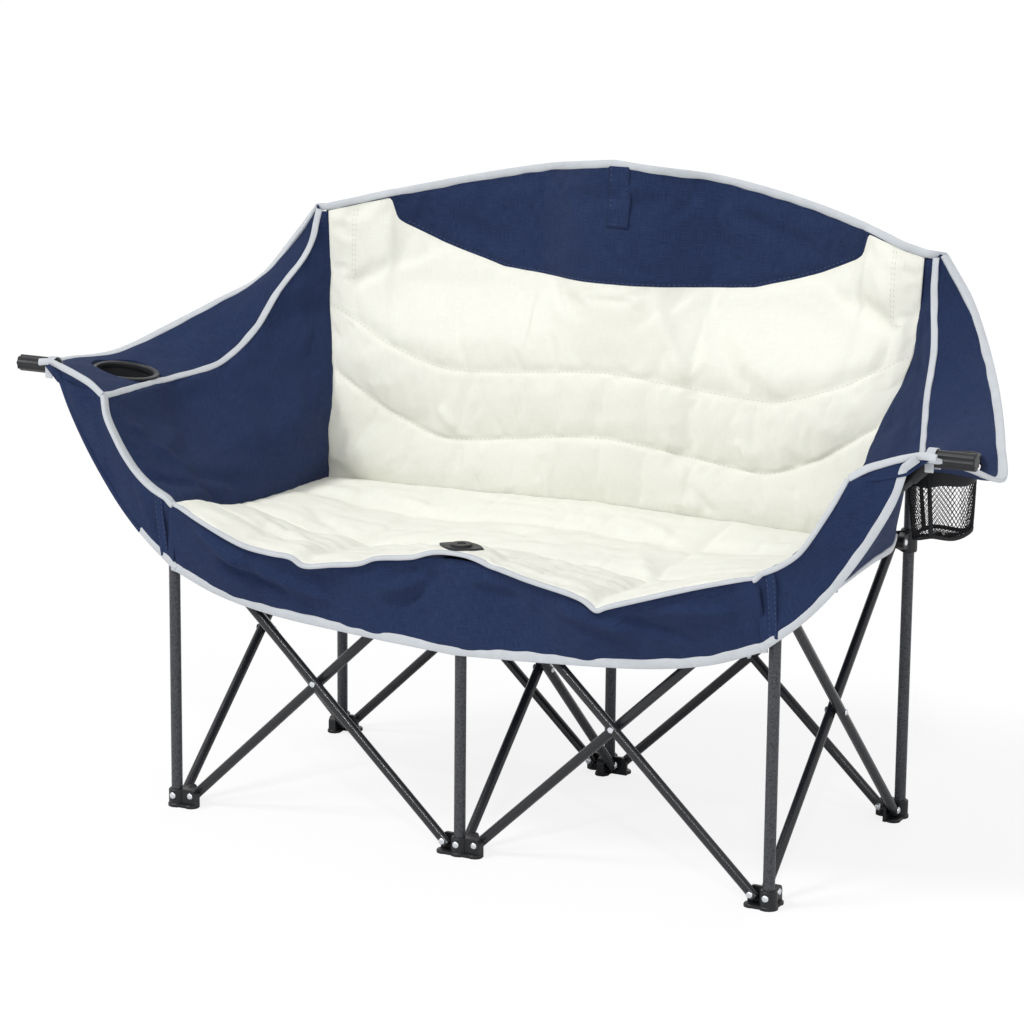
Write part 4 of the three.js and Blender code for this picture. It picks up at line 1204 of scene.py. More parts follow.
@dataclass
class Sling:
    """The seat, back, sides and arms of padded cloth, with their bindings and stitching."""

    shape: SlingShape
    palette: Palette
    frame: dict
    across: np.ndarray = field(default_factory=lambda: np.linspace(0, 1, 221))
    keep: float = 0.29
    arm_keep: float = 0.19

    def move(
        self, piece: Piece, node: str, hand: Hand | None = None, fill: float | None = None
    ) -> None:
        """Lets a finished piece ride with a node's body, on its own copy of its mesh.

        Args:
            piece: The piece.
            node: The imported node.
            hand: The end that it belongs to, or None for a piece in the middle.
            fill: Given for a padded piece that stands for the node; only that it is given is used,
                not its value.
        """
        ride(self.frame, piece, node, stands_for=fill is not None)
        axis, anchor = (1, 0, 0), (0, 0, 0.4)
        if hand is not None:
            axis, anchor = (-0.25 * hand.value, 0.78, 0.57), (hand.value * 0.63, -0.18, 0.6)
        self.arm_keep if hand else self.keep
        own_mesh(piece)
        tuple(axis)
        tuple(anchor)

    def edge(
        self, surface: Surface, fixed: str, value: float, inner: float
    ) -> tuple[Points, Points]:
        """Returns one edge of a surface, and the way in from it.

        Args:
            surface: The surface.
            fixed: Which share stays the same along the edge, u or v.
            value: That share on the edge.
            inner: The same share a little way in.
        """
        run = self.across
        lines = []
        for level in (value, inner):
            pair = (run, level + 0 * run)
            lines.append(surface(*(pair if fixed == "v" else pair[::-1])))
        return lines[0], lines[1] - lines[0]

    def build_seat(self) -> None:
        """Builds the two padded halves of the seat and the binding of its front edge."""
        shape = self.shape
        # fmt: off
        folds = Folds((
            (-300, -170, -120, -20, 11, 3), (280, -200, 160, -20, 12, 3),
            (-40, -200, -200, -100, 9, 3), (50, -190, 190, -80, 9, 3),
            (340, 0, 400, 120, 12, -2.5), (-380, -160, -240, -200, 10, 3),
            (-360, -40, -220, -120, 9, -3), (-100, 20, 60, -50, 10, -2.5),
            (100, 100, 240, 30, 10, 2.5), (-340, 100, -200, 60, 10, 2.5),
        ))
        # fmt: on

        def relief(u: np.ndarray, v: np.ndarray, points: Points) -> np.ndarray:
            """Returns the folds of a half of the seat."""
            height = 0.0014 * ripple(points, 0.07, 3, (1, 2.2, 1))
            height += 0.0007 * ripple(points, 0.028, 4, (1, 1.6, 1))
            height -= 0.0018 * np.exp(-((np.abs(v - 0.5) / 0.03) ** 2))
            height += folds.relief(points[:, :2])
            inside = np.minimum(np.minimum(u, 1 - u) * 12, 1)
            return height * inside * smoothstep(np.minimum(v, 1 - v), 0, 0.12)

        for name, low, high in (("front", 0.0, 0.5), ("rear", 0.49, 1.0)):

            def face(u: np.ndarray, v: np.ndarray, low: float = low, high: float = high) -> Points:
                """Returns this half's top, its edge tucked under the front half's."""
                points = shape.seat(u, low + (high - low) * v)
                points[:, 2] -= 0.0015 * (low > 0) * (1 - smoothstep(v, 0.02, 0.05))
                return points

            piece = ClothPanel(
                f"seat_{name}_cushion",
                (132, 32),
                face,
                lambda u, v, low=low, high=high: shape.seat_offset(u, low + (high - low) * v),
                (0.9, 0.22),
                relief=relief,
                sewn=lambda u, v: np.abs(v - 0.5) < 0.01,
                swell=PadSimulation(cap=0.005),
            ).build(self.palette.cream, self.palette.navy, Slot.QUILT)
            self.move(piece, f"seat_{name}_pad", fill=0.35)
        path, inward = self.edge(shape.seat, "v", 0.0, 0.03)
        path = path - np.array([0, 0, 0.002])
        tape = Tape(width=0.008, height=0.0056)
        tape = tape.sweep("seat_front_binding", path, inward, self.palette.tape)
        self.move(tape, "seat_front_pad")

    def build_back(self) -> None:
        """Builds the back: its quilted bands, the navy patch with its strap, the sleeves of the
        posts, the crest's binding and the stitching."""
        shape, palette = self.shape, self.palette
        # fmt: off
        folds = Folds((
            (-267, 673, -233, 593, 10, -3), (-122, 721, -138, 605, 9, 3.5),
            (-221, 578, -234, 494, 9, -3), (-148, 585, -130, 495, 6, 3),
            (-269, 530, -238, 500, 8, 3), (-13, 560, -10, 505, 8, -3),
            (-232, 482, -228, 439, 7, -3), (-194, 482, -189, 437, 7, 3),
            (-93, 476, -98, 440, 8, -3), (-389, 799, -380, 691, 14, 2.5),
            (51, 731, 64, 706, 8, -3), (57, 721, 133, 589, 10, 4.5),
            (151, 669, 233, 591, 10, -4), (184, 678, 270, 599, 11, 3.5),
            (95, 525, 122, 501, 8, 3), (229, 583, 243, 518, 9, -3),
            (211, 528, 233, 502, 8, 3), (125, 483, 172, 413, 9, 4),
            (137, 459, 191, 419, 9, -3), (392, 788, 426, 724, 14, 2.5),
            (326, 734, 436, 714, 14, -3), (-300, 800, -180, 760, 14, -2.5),
            (100, 850, 240, 770, 16, 3.5), (160, 840, 300, 790, 12, -3),
        ))
        # fmt: on

        def relief(u: np.ndarray, v: np.ndarray, points: Points) -> np.ndarray:
            """Returns the folds and puckers of the back."""
            height = folds.relief(points[:, [0, 2]])
            to_seam = np.minimum(np.abs(v - 0.25), np.abs(v - 0.5))
            near = np.exp(-to_seam / 0.05) * (to_seam > 0.002)
            height += near * 0.0022 * ripple(points, 0.028, 11, (1, 0.2, 0.2))
            height -= 0.0026 * np.exp(-((to_seam / 0.009) ** 2))
            height += 0.0008 * ripple(points, 0.12, 5) + 0.0004 * ripple(points, 0.03, 6)
            height += 0.0009 * smoothstep(v, 0.75, 0.765)
            inside = np.minimum(np.minimum(u, 1 - u) * 20, 1)
            return height * inside * smoothstep(np.minimum(v, 1 - v), 0, 0.05)

        def sewn(u: np.ndarray, v: np.ndarray) -> np.ndarray:
            """Returns which points lie on a seam."""
            seams = np.min([np.abs(v - seam) for seam in (0.25, 0.5, 0.75)], axis=0) < 0.004
            return seams | (v > 0.965)

        back = ClothPanel(
            "back_cushion",
            (160, 88),
            shape.back,
            shape.back_offset,
            (0.95, 0.52),
            relief=relief,
            sewn=sewn,
            swell=PadSimulation(cap=0.006, ease=0.015),
        ).build(palette.cream, palette.navy, Slot.QUILT, 0.75, palette.navy)
        self.sew_back(back)
        path, inward = self.edge(shape.back, "v", 1.0, 0.97)
        ends = [shape.place(shape.wing_edge[:1], side) for side in (-1, 1)]
        path = np.vstack([ends[0], path + np.array([0, 0.002, 0.001]), ends[1]])
        inward = np.vstack([inward[:1], inward, inward[-1:]])
        crest = Tape(width=0.0115, height=0.0075).sweep("crest_binding", path, inward, palette.tape)
        self.move(crest, "back_pad")
        self.move(back, "back_pad", fill=0.35)
        self.build_sleeves()

    def on_back(self, places: list[tuple[float, float]], back: Piece) -> Points:
        """Returns points on the front of the finished back through these places across and up."""
        tree = shown_tree(back)
        line = np.array(places, float)
        run = lengths_along(line)
        steps = np.linspace(0, run[-1], max(8, int(run[-1] / 0.004)))
        x, z = (np.interp(steps, run, line[:, k]) for k in range(2))
        hits = [tree.ray_cast((a, 0.0, b), (0, 1, 0))[0] for a, b in zip(x, z)]
        return np.array([hit for hit in hits if hit is not None])

    def sew_back(self, back: Piece) -> None:
        """Sews the patch's edge, its strap, the quilting and the sleeves of the corner posts."""
        shape, palette = self.shape, self.palette
        middle, half, low, inset = 0.0095, 0.0175, 0.812, 0.012
        top = float(shape.crest(np.array([0.0]))[0]) - 0.006
        path = self.on_back([(middle, low), (middle, top)], back)
        strap = Tape(width=2 * half, height=0.0034, lip=half, sides=24).sweep(
            "back_patch_strap", path, stacked(np.ones(len(path)), 0, 0), palette.navy, Slot.QUILT
        )
        box = [(-inset, top), (-inset, low + 0.006), (inset, low + 0.006), (inset, top)]
        line = [(x, z + 0.004) for x, z in shape.patch_line[:-2]]
        strap_rows = [self.on_back([(middle + x, z) for x, z in box], back)]
        navy_rows = [self.on_back([(-x, z) for x, z in reversed(line)] + line[1:], back)]
        run = self.across
        # The quilting rows take the pale thread, whose darker tone is partly painted shade of the
        # seam grooves.
        pale_rows = [shape.back(run, level + 0 * run) for level in (0.25, 0.5)]
        sleeve_low, sleeve_foot = 0.708, 0.706
        for side in (-1, 1):
            for x in (side * 0.432, side * 0.427):
                pale_rows.append(self.on_back([(x, low), (x, sleeve_low)], back))
            bottom = [(side * 0.425, sleeve_foot), (side * 0.452, sleeve_foot)]
            pale_rows.append(self.on_back(bottom, back))
        pieces = [strap]
        for name, rows, on, thread in (
            ("strap", strap_rows, strap, palette.navy_thread),
            ("patch", navy_rows, back, palette.navy_thread),
            ("back", pale_rows, back, palette.pale_thread),
        ):
            pieces.append(StitchRow().sew(f"{name}_stitching", rows, on, thread, Slot.QUILT))
        for piece in pieces:
            self.move(piece, "back_pad")

    def build_sleeves(self) -> None:
        """Builds the sleeves behind the back that the tall posts' tops stand in."""
        for word, depth in (("left", 0.086), ("centre", 0.076), ("right", 0.086)):
            low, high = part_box(f"rear_{word}_post")
            middle = (low + high) / 2
            sleeve = PostSleeve(middle.x, middle.y, high.z, depth)
            piece = sleeve.build(f"{word}_post_sleeve", self.palette.navy)
            self.move(piece, "back_pad")

    def build_side(self, hand: Hand) -> None:
        """Builds a side panel, its arm and their bindings."""
        shape, palette = self.shape, self.palette
        # fmt: off
        folds = Folds((
            (-240, 550, -200, 528, 8, 4), (-214, 517, -165, 472, 8, 4),
            (-180, 470, -61, 440, 10, -4), (-203, 500, -120, 520, 12, 3),
            (60, 440, 190, 455, 12, 3), (90, 630, 190, 680, 14, -3), (20, 500, 160, 580, 18, 3),
        ))
        # fmt: on

        def relief(u: np.ndarray, v: np.ndarray, points: Points) -> np.ndarray:
            """Returns the folds of a side panel."""
            height = folds.relief(points[:, 1:])
            height += 0.0022 * ripple(points, 0.16, 21, (1, 1, 1.4))
            height += 0.0005 * ripple(points, 0.04, 22)
            edge = np.minimum(np.minimum(u, 1 - u), np.minimum(v, 1 - v))
            return height * smoothstep(edge, 0, 0.1)

        side = ClothPanel(
            f"{hand.word}_side_cushion",
            (80, 44),
            shape.side(hand.value),
            shape.side_offset(hand.value),
            (0.5, 0.28),
            relief=relief,
            swell=PadSimulation(cap=0.006, pressure=3.0),
        ).build(palette.navy, palette.navy, Slot.SIDE)
        self.move(side, f"{hand.word}_side_panel", hand, fill=0.25)
        self.build_arm(hand)
        self.bind_side(hand)

    def build_arm(self, hand: Hand) -> None:
        """Builds an arm with its wing, and cuts the hole of the cup holder."""

        def relief(u: np.ndarray, v: np.ndarray, points: Points) -> np.ndarray:
            """Returns the folds of an arm."""
            height = 0.0016 * ripple(points, 0.09, 31) + 0.0005 * ripple(points, 0.03, 32)
            return height * smoothstep(np.minimum(v, 1 - v), 0, 0.25)

        arm = ClothPanel(
            f"{hand.word}_arm_cushion",
            (180, 26),
            self.shape.arm(hand.value),
            self.shape.arm_offset,
            (0.75, 0.12),
            relief=relief,
            levels=0,
        ).build(self.palette.navy, self.palette.navy, Slot.SIDE)
        CupHolder(self.frame, hand).cut(arm)
        self.move(arm, f"{hand.word}_arm", hand, fill=0.25)

    def bind_side(self, hand: Hand) -> None:
        """Lays the binding tapes of one end, and closes the arm's front with its tip."""
        shape, navy, word = self.shape, self.palette.navy, hand.word
        arm, side, tip = (make(hand.value) for make in (shape.arm, shape.side, shape.tip))
        wing, wing_in = self.edge(arm, "v", 1.0, 0.9)
        ridge, to_arm = self.edge(arm, "v", 0.0, 0.1)
        run = self.across
        middle = unit(unit(to_arm) - unit(side(1 - run, 0.95 + 0 * run) - ridge))
        ridge = ridge - middle * 0.005
        ridge[0] += unit(ridge[0] - ridge[2]) * 0.008
        rows = (
            ("wing", (wing - np.array([0, 0, 0.0015]), wing_in), Tape(0.0125, 0.006), 4),
            ("ridge", (ridge, middle), Tape(0.0098, 0.0036, 0), 5),
            ("front", self.edge(side, "u", 0.0, 0.04), Tape(0.0135, 0.0075, 0.0055), 6),
            ("tip", self.edge(tip, "v", 1.0, 0.9), Tape(0.0095, 0.006), 9),
        )
        pieces = [
            tape.sweep(f"{word}_{name}_binding", *line, self.palette.tape, seed=seed)
            for name, line, tape, seed in rows
        ]
        cloth = ClothPanel(
            f"{word}_arm_tip", (36, 10), tip, lambda u, v: stacked(0 * u, 0.002, 0), (0.12, 0.03)
        ).build(navy, navy, Slot.SIDE)
        for piece in (*pieces, cloth):
            self.move(piece, f"{word}_arm", hand)
        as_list(pieces[-1:])


@dataclass(frozen=True)
class PostSleeve:
    """A cloth sleeve, open below and closed above, sewn behind the back round a post's top."""

    x: float
    y: float
    top: float
    depth: float
    inner: float = 0.0086
    wall: float = 0.0022
    root: float = 0.014

    def build(self, name: str, cloth: Material) -> Piece:
        """Returns the sleeve, with this name and material."""
        bm, u, v = grid(28, 14)
        outer = self.inner + self.wall
        half = outer + self.root
        arc = math.pi * outer
        reach = u * (2 * self.root + arc) - self.root
        turn = np.clip(reach / arc, 0, 1) * math.pi
        beyond = np.maximum(reach - arc, 0) - np.maximum(-reach, 0)
        x = self.x - outer * np.cos(turn) + beyond
        y = self.y + outer * np.sin(turn) - np.abs(beyond) * 0.25
        x = np.clip(x, self.x - half, self.x + half)
        close = smoothstep(v, 0.9, 1.0)
        y = y * (1 - close) + (self.y - 0.002) * close
        z = self.top + 0.003 - self.depth * (1 - v)
        lay_cloth_map(bm, u * 0.06, v * self.depth)
        spread(bm, stacked(x, y, z))
        piece = finished(name, bm, cloth, Slot.QUILT)
        wall = piece.modifiers.new("cloth", "SOLIDIFY")
        wall.thickness = self.wall
        wall.offset = 0
        return piece


@dataclass
class CupHolder:
    """The cup holder of one arm: a moulded ring, a net pouch and its seams."""

    frame: dict
    hand: Hand
    tilt: float = math.radians(8)
    ring_radius: float = 0.0505
    ring_width: float = 0.009
    mouth: float = 0.047
    base_share: float = 0.82
    depth: float = 0.104
    around: int = 46
    rows: int = 17

    def place(self) -> Matrix:
        """Returns the place of the rim: its middle, with Z up the leaning axis."""
        low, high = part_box(f"{self.hand.word}_cup_ring")
        turn = Matrix.Rotation(-self.hand.value * self.tilt, 4, "Y")
        return Matrix.Translation((low + high) / 2) @ turn

    def cut(self, arm: Piece) -> None:
        """Cuts the round hole in an arm's cloth."""
        radius = self.ring_radius - 0.002
        sizes = {"cap_ends": True, "segments": 72, "radius1": radius, "radius2": radius}
        bm = bmesh.new()
        bmesh.ops.create_cone(bm, depth=self.depth, matrix=self.place(), **sizes)
        mesh = bpy.data.meshes.new("cup_hole")
        bm.to_mesh(mesh)
        bm.free()
        cutter = bpy.data.objects.new("cup_hole", mesh)
        bpy.context.scene.collection.objects.link(cutter)
        hole = arm.modifiers.new("hole", "BOOLEAN")
        hole.operation, hole.solver, hole.object = "DIFFERENCE", "EXACT", cutter
        graph = bpy.context.evaluated_depsgraph_get()
        cut = bpy.data.meshes.new_from_object(arm.evaluated_get(graph))
        arm.modifiers.clear()
        arm.data = cut
        discard(cutter)

    def build(self, palette: Palette) -> None:
        """Builds the ring and the pouch and makes them move with the arm."""
        word = self.hand.word
        ring, pouch = self.build_ring(palette.nylon), self.build_pouch(palette.net)
        seams = self.build_seams(palette.black_tape)
        ride(self.frame, ring, f"{word}_cup_ring", stands_for=True)
        ride(self.frame, pouch, f"{word}_cup_pouch", stands_for=True)
        ride(self.frame, seams, f"{word}_cup_ring")
        for piece in (pouch, seams):
            tuple(self.place().translation)
            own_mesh(piece)

    def build_ring(self, nylon: Material) -> Piece:
        """Returns the moulded ring, turned with a soft lip."""
        inner, outer = self.ring_radius - self.ring_width, self.ring_radius
        # fmt: off
        profile = [
            (inner, -0.006), (inner + 0.002, -0.006), (inner + 0.003, -0.002),
            (outer - 0.001, -0.002), (outer, -0.001), (outer, 0.0005), (outer - 0.0012, 0.0019),
            (inner + 0.0045, 0.0024), (inner + 0.0012, 0.0018), (inner, 0.0006),
        ]
        # fmt: on
        bm = turned(profile, self.place(), 72, closed=True)
        return finished(f"{self.hand.word}_cup_ring_moulding", bm, nylon, Slot.PLASTIC)

    def shell(self, u: np.ndarray, v: np.ndarray) -> Points:
        """Returns the pouch's cloth from its floor's middle (v = -0.4) up to the ring (v = 1)."""
        turn = 2 * math.pi * u
        side = np.clip(v, 0, 1)
        radius = self.mouth * (self.base_share + (1 - self.base_share) * side**0.8)
        floor = 1 + np.minimum(v, 0) / 0.42
        square = 1 + 0.07 * (1 - side) * np.cos(4 * turn)
        radius = radius * np.clip(floor, 0, 1) * square - 0.0015
        sag = 0.004 * np.sin(3 * turn + 0.7) * (1 - side) * np.clip(floor, 0, 1)
        z = -0.004 - (self.depth - 0.009) * (1 - side) + sag - 0.002 * (v < 0) * (1 - floor)
        lean = -self.hand.value * 0.009 * (1 - side)
        place = np.array(self.place())
        local = stacked(radius * np.cos(turn) + lean, radius * np.sin(turn), z)
        return local @ place[:3, :3].T + place[:3, 3]

    def build_pouch(self, net: Material) -> Piece:
        """Returns the knitted net: diamonds 6 mm across, drawn as threads."""
        bm, u, v = grid(self.around, self.rows)
        spread(bm, self.shell(u, v * 1.4 - 0.4))
        bmesh.ops.remove_doubles(bm, verts=bm.verts, dist=1e-5)
        sides = list(bm.edges)
        bmesh.ops.poke(bm, faces=bm.faces)
        crossed = [edge for edge in sides if edge.is_valid and len(edge.link_faces) == 2]
        bmesh.ops.dissolve_edges(bm, edges=crossed, use_verts=False)
        bmesh.ops.recalc_face_normals(bm, faces=bm.faces)
        piece = finished(f"{self.hand.word}_cup_net", bm, net, Slot.NET)
        wire = piece.modifiers.new("threads", "WIREFRAME")
        wire.thickness = 0.0011
        wire.use_even_offset = False
        return piece

    def build_seams(self, tape: Material) -> Piece:
        """Returns the black tapes of the pouch: its mouth, its foot and three upright seams."""
        steps = np.linspace(0, 1, 73)
        flat = 0 * steps
        whole = bmesh.new()
        for u, v, width, step in (
            (steps, 0.86 + flat, 0.028, (0, -0.05)),
            (steps, 0.03 + flat, 0.005, (0, 0.05)),
            *((turn + flat, steps, 0.006, (0.02, 0)) for turn in (0.08, 0.42, 0.75)),
        ):
            path = self.shell(u, v)
            inward = self.shell(u + step[0], v + step[1]) - path
            strip = Tape(width, 0.002, width / 2).sweep("strip", path, inward, tape, Slot.NET)
            whole.from_mesh(strip.data)
            discard(strip)
        return finished(f"{self.hand.word}_cup_net_tapes", whole, tape, Slot.NET)


@dataclass
class FrontCloth:
    """The apron below the seat, a gusset up to each arm and the outer cloth of each side."""

    shape: SlingShape
    sling: Sling
    palette: Palette

    def build(self) -> None:
        """Builds the cloths with their hems."""
        self.build_apron()
        for hand in Hand:
            self.build_gusset(hand)
            self.build_skirt(hand)

    def thin(self, u: np.ndarray, share: float = 1.0) -> Points:
        """Returns the way from the back of a front cloth to its face."""
        return stacked(0 * u, -share * self.shape.sheet_thickness, 0)

    def behind(self, u: np.ndarray, v: np.ndarray) -> Points:
        """Returns the way from the face of a front cloth to its back."""
        return self.thin(u, -0.7)

    def panel(
        self,
        name: str,
        size: tuple[int, int],
        surface: Surface,
        offset: Surface,
        flat: tuple[float, float],
        relief: Callable[[np.ndarray, np.ndarray, Points], np.ndarray],
    ) -> Piece:
        """Returns a navy cloth, as a ClothPanel with these attributes builds it."""
        panel = ClothPanel(name, size, surface, offset, flat, relief=relief)
        return panel.build(self.palette.navy, self.palette.navy, Slot.SIDE)

    def build_apron(self) -> None:
        """Builds the apron."""
        # fmt: off
        folds = Folds((
            (-405, 426, -310, 375, 13, 8), (-365, 374, -259, 344, 10, -6),
            (-304, 371, -195, 338, 11, 7), (-116, 361, -35, 385, 10, 6),
            (-82, 343, -23, 397, 8, -5), (20, 385, 98, 374, 9, -5), (158, 373, 275, 356, 10, 6),
            (246, 376, 362, 353, 9, -5), (304, 391, 417, 400, 10, 5),
        ))
        # fmt: on

        def face(u: np.ndarray, v: np.ndarray) -> Points:
            """Returns the front of the apron."""
            return self.shape.apron(u, v) + self.thin(u)

        def relief(u: np.ndarray, v: np.ndarray, points: Points) -> np.ndarray:
            """Returns the folds of the apron."""
            height = folds.relief(points[:, [0, 2]])
            height += 0.0038 * ripple(points, 0.13, 41, (1, 1, 0.6))
            height += 0.0014 * ripple(points, 0.045, 42)
            return height * smoothstep(np.minimum(v, 1 - v), 0, 0.2)

        apron = self.panel("apron_cloth", (150, 26), face, self.behind, (0.95, 0.17), relief)
        path, inward = self.sling.edge(face, "v", 0.0, 0.1)
        path = path + np.array([0, 0.001, 0])
        hem = Tape(width=0.014, height=0.0042).sweep("apron_hem", path, inward, self.palette.tape)
        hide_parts("apron_centre")
        for piece in (apron, hem):
            self.sling.move(piece, "apron_centre")

    def build_gusset(self, hand: Hand) -> None:
        """Builds the gusset of one end, its hem rolled in where the photograph shows it so."""
        shape, palette, word = self.shape, self.palette, hand.word
        surface = shape.gusset(hand.value)

        def face(u: np.ndarray, v: np.ndarray) -> Points:
            """Returns the front of the gusset."""
            return surface(u, v) + self.thin(u)

        def relief(u: np.ndarray, v: np.ndarray, points: Points) -> np.ndarray:
            """Returns the folds of the gusset."""
            height = 0.003 * ripple(points, 0.09, 51) + 0.001 * ripple(points, 0.035, 52)
            return height * smoothstep(np.minimum(v, 1 - v), 0, 0.3)

        name = f"{word}_gusset_cloth"
        gusset = self.panel(name, (72, 18), face, self.behind, (0.33, 0.09), relief)
        path, inward = self.sling.edge(face, "v", 0.0, 0.15)
        end = shape.place(shape.gusset_end, hand.value)
        path = np.vstack([path + np.array([0, 0.001, 0]), end])
        inward = np.vstack([inward, inward[-1:]])
        rolled = int(len(path) * (0.2 if hand is Hand.LEFT else 1))
        hem = Tape(width=0.0115, height=0.0042).sweep(
            f"{word}_gusset_hem", path[:rolled], inward[:rolled], palette.tape, seed=7
        )
        pieces = [hem]
        if rolled < len(path):
            rest = slice(rolled - 2, None)
            roll = Tape(width=0.008, height=0.005)
            name = f"{word}_gusset_roll"
            pieces.append(roll.sweep(name, path[rest], inward[rest], palette.navy))
        rise = np.linspace(0.07, 0.97, 60)
        seam = face(0.046 + 0.058 * rise, rise)
        strip = Tape(width=0.014, height=0.0016, lip=0.007, sides=16).sweep(
            f"{word}_gusset_seam", seam, stacked(1 + 0 * rise, 0, 0), palette.navy, Slot.SIDE
        )
        rows = [seam + np.array([side * 0.0045, -0.002, 0]) for side in (-1, 1)]
        name = f"{word}_gusset_stitching"
        stitching = StitchRow().sew(name, rows, strip, palette.navy_thread, Slot.SIDE)
        pieces += [strip, stitching]
        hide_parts(f"{word}_gusset")
        for piece in (gusset, *pieces):
            ride(self.sling.frame, piece, f"{word}_gusset")
            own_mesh(piece)

    def build_skirt(self, hand: Hand) -> None:
        """Builds the outer cloth below one side panel."""
        word = hand.word
        surface = self.shape.skirt(hand.value)
        skirt = self.panel(
            f"{word}_outer_cloth",
            (70, 20),
            surface,
            lambda u, v: stacked(-hand.value * 0.002 + 0 * u, 0, 0),
            (0.45, 0.15),
            lambda u, v, points: 0.002 * ripple(points, 0.12, 61) * np.sin(np.pi * v),
        )
        hem = Tape(width=0.012, height=0.0042).sweep(
            f"{word}_outer_hem", *self.sling.edge(surface, "v", 0.0, 0.1), self.palette.tape, seed=8
        )
        for piece in (skirt, hem):
            self.sling.move(piece, f"{word}_side_panel", hand)


# The folding frame


@dataclass
class SteelFrame:
    """Posts, tubes, moulded feet and hubs, caps and rivets."""

    frame: dict
    palette: Palette
    wall: float = 0.001
    head_radius: float = 0.0049
    head_height: float = 0.0025
    corner: float = 0.0007
    pitch: float = 0.460
    reach: float = 0.024
    foot_pivot: float = 0.017
    hub_pivot: float = 0.405
    tube_radius: float = 0.007
    layer: float = 0.0144
    clearance: float = 0.0003
    recess: float = 0.00445
    housing: float = 0.012

    def build(self) -> None:
        """Builds every rigid piece of the frame."""
        for node in sorted(self.frame["nodes"]):
            if node.endswith("_post"):
                self.build_post(node)
            elif "_tube" in node:
                self.build_tube(node)
            elif node.endswith(("_foot", "_hub", "_arm_cap")) or node == "seat_grommet":
                self.round_off(node, self.palette.nylon, Slot.PLASTIC)
            elif node.endswith("_rivet"):
                self.round_off(node, self.palette.zinc, Slot.STEEL)
            elif node.endswith("_arm_strap"):
                self.round_off(node, self.palette.tape, Slot.WEBBING)
        self.build_heads()

    def axis_of(self, node: str) -> tuple[Vector, Vector, float]:
        """Returns a round node's two ends and its radius."""
        co = np.array([vert.co for vert in self.frame["nodes"][node].data.vertices])
        centre = co.mean(axis=0)
        axis = np.linalg.svd(co - centre, full_matrices=False)[2][0]
        along = (co - centre) @ axis
        off = (co - centre) - along[:, None] * axis
        middle = centre + (off.max(axis=0) + off.min(axis=0)) / 2
        radius = np.linalg.norm(co - middle - ((co - middle) @ axis)[:, None] * axis, axis=1).max()
        ends = [middle + axis * reach for reach in (along.min(), along.max())]
        ends.sort(key=lambda end: end[2])
        return Vector(ends[0]), Vector(ends[1]), float(radius)

    @staticmethod
    def standing(low: Vector, high: Vector) -> Matrix:
        """Returns a place on the low point with Z towards the high one."""
        return Matrix.Translation(low) @ (high - low).to_track_quat("Z", "Y").to_matrix().to_4x4()

    def build_post(self, node: str) -> None:
        """Builds a post: an open tube whose ends are slightly rolled in."""
        low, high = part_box(node)
        radius, length = (high.x - low.x) / 2, high.z - low.z
        middle = (low + high) / 2
        bore, roll = radius - self.wall, 0.0008
        top = [(radius, length - roll), (radius - roll, length), (bore, length)]
        profile = [(bore, 0), (radius - roll, 0), (radius, roll), *top]
        place = Matrix.Translation((middle.x, middle.y, low.z))
        bm = turned(profile, place, 32, closed=True)
        self.settle(finished(f"{node}_tube", bm, self.palette.paint, Slot.PAINT), node)

    def build_tube(self, node: str) -> None:
        """Builds a scissor tube with domed plugs in its ends."""
        low, high, radius = self.axis_of(node)
        length, lip = (high - low).length, 0.0016
        dome = ((radius - lip * 1.6, 0), (radius - lip * 0.4, lip * 0.4), (radius, lip * 1.3))
        upper = [(r, length - z) for r, z in reversed(dome)]
        bm = turned([(0, 0), *dome, *upper, (0, length)], self.standing(low, high), 32)
        self.settle(finished(f"{node}_painted", bm, self.palette.tube_paint, Slot.PAINT), node)

    def settle(self, piece: Piece, node: str) -> None:
        """Keeps a piece's flat faces flat, and lets it stand for its node."""
        piece.modifiers.new("even", "WEIGHTED_NORMAL").keep_sharp = True
        ride(self.frame, piece, node, stands_for=True)

    def round_off(self, node: str, finish: Material, slot: Slot) -> None:
        """Builds a finer copy of a moulded or turned node with its corners rounded."""
        bm = bmesh.new()
        bm.from_mesh(self.frame["nodes"][node].data)
        bmesh.ops.remove_doubles(bm, verts=bm.verts, dist=1e-5)
        bmesh.ops.dissolve_limit(bm, angle_limit=math.radians(1), verts=bm.verts, edges=bm.edges)
        for layer in list(bm.loops.layers.uv.values()):
            bm.loops.layers.uv.remove(layer)
        bm.verts.index_update()
        across, up = np.array([(vert.co.x + vert.co.y, vert.co.z) for vert in bm.verts]).T
        lay_cloth_map(bm, across, up)
        piece = finished(f"{node}_rounded", bm, finish, slot)
        corner = piece.modifiers.new("corner", "BEVEL")
        corner.width = self.corner
        corner.segments = 2
        corner.limit_method = "ANGLE"
        corner.angle_limit = math.radians(35)
        self.settle(piece, node)

    def build_heads(self) -> None:
        """Builds the bright heads of the rivets in the feet and hubs."""
        half = self.pitch / 2
        low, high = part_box("front_centre_post")
        shift = (low.y + high.y) / 2 + half
        for row, y in (("front", -half), ("rear", half)):
            for column, x in (("left", -self.pitch), ("centre", 0.0), ("right", self.pitch)):
                for kind, height in (("foot", self.foot_pivot), ("hub", self.hub_pivot)):
                    post = Vector((x, y + shift, height))
                    heads = list(self.heads_of(row, column, kind, post))
                    self.build_head_set(f"{row}_{column}_{kind}", heads)

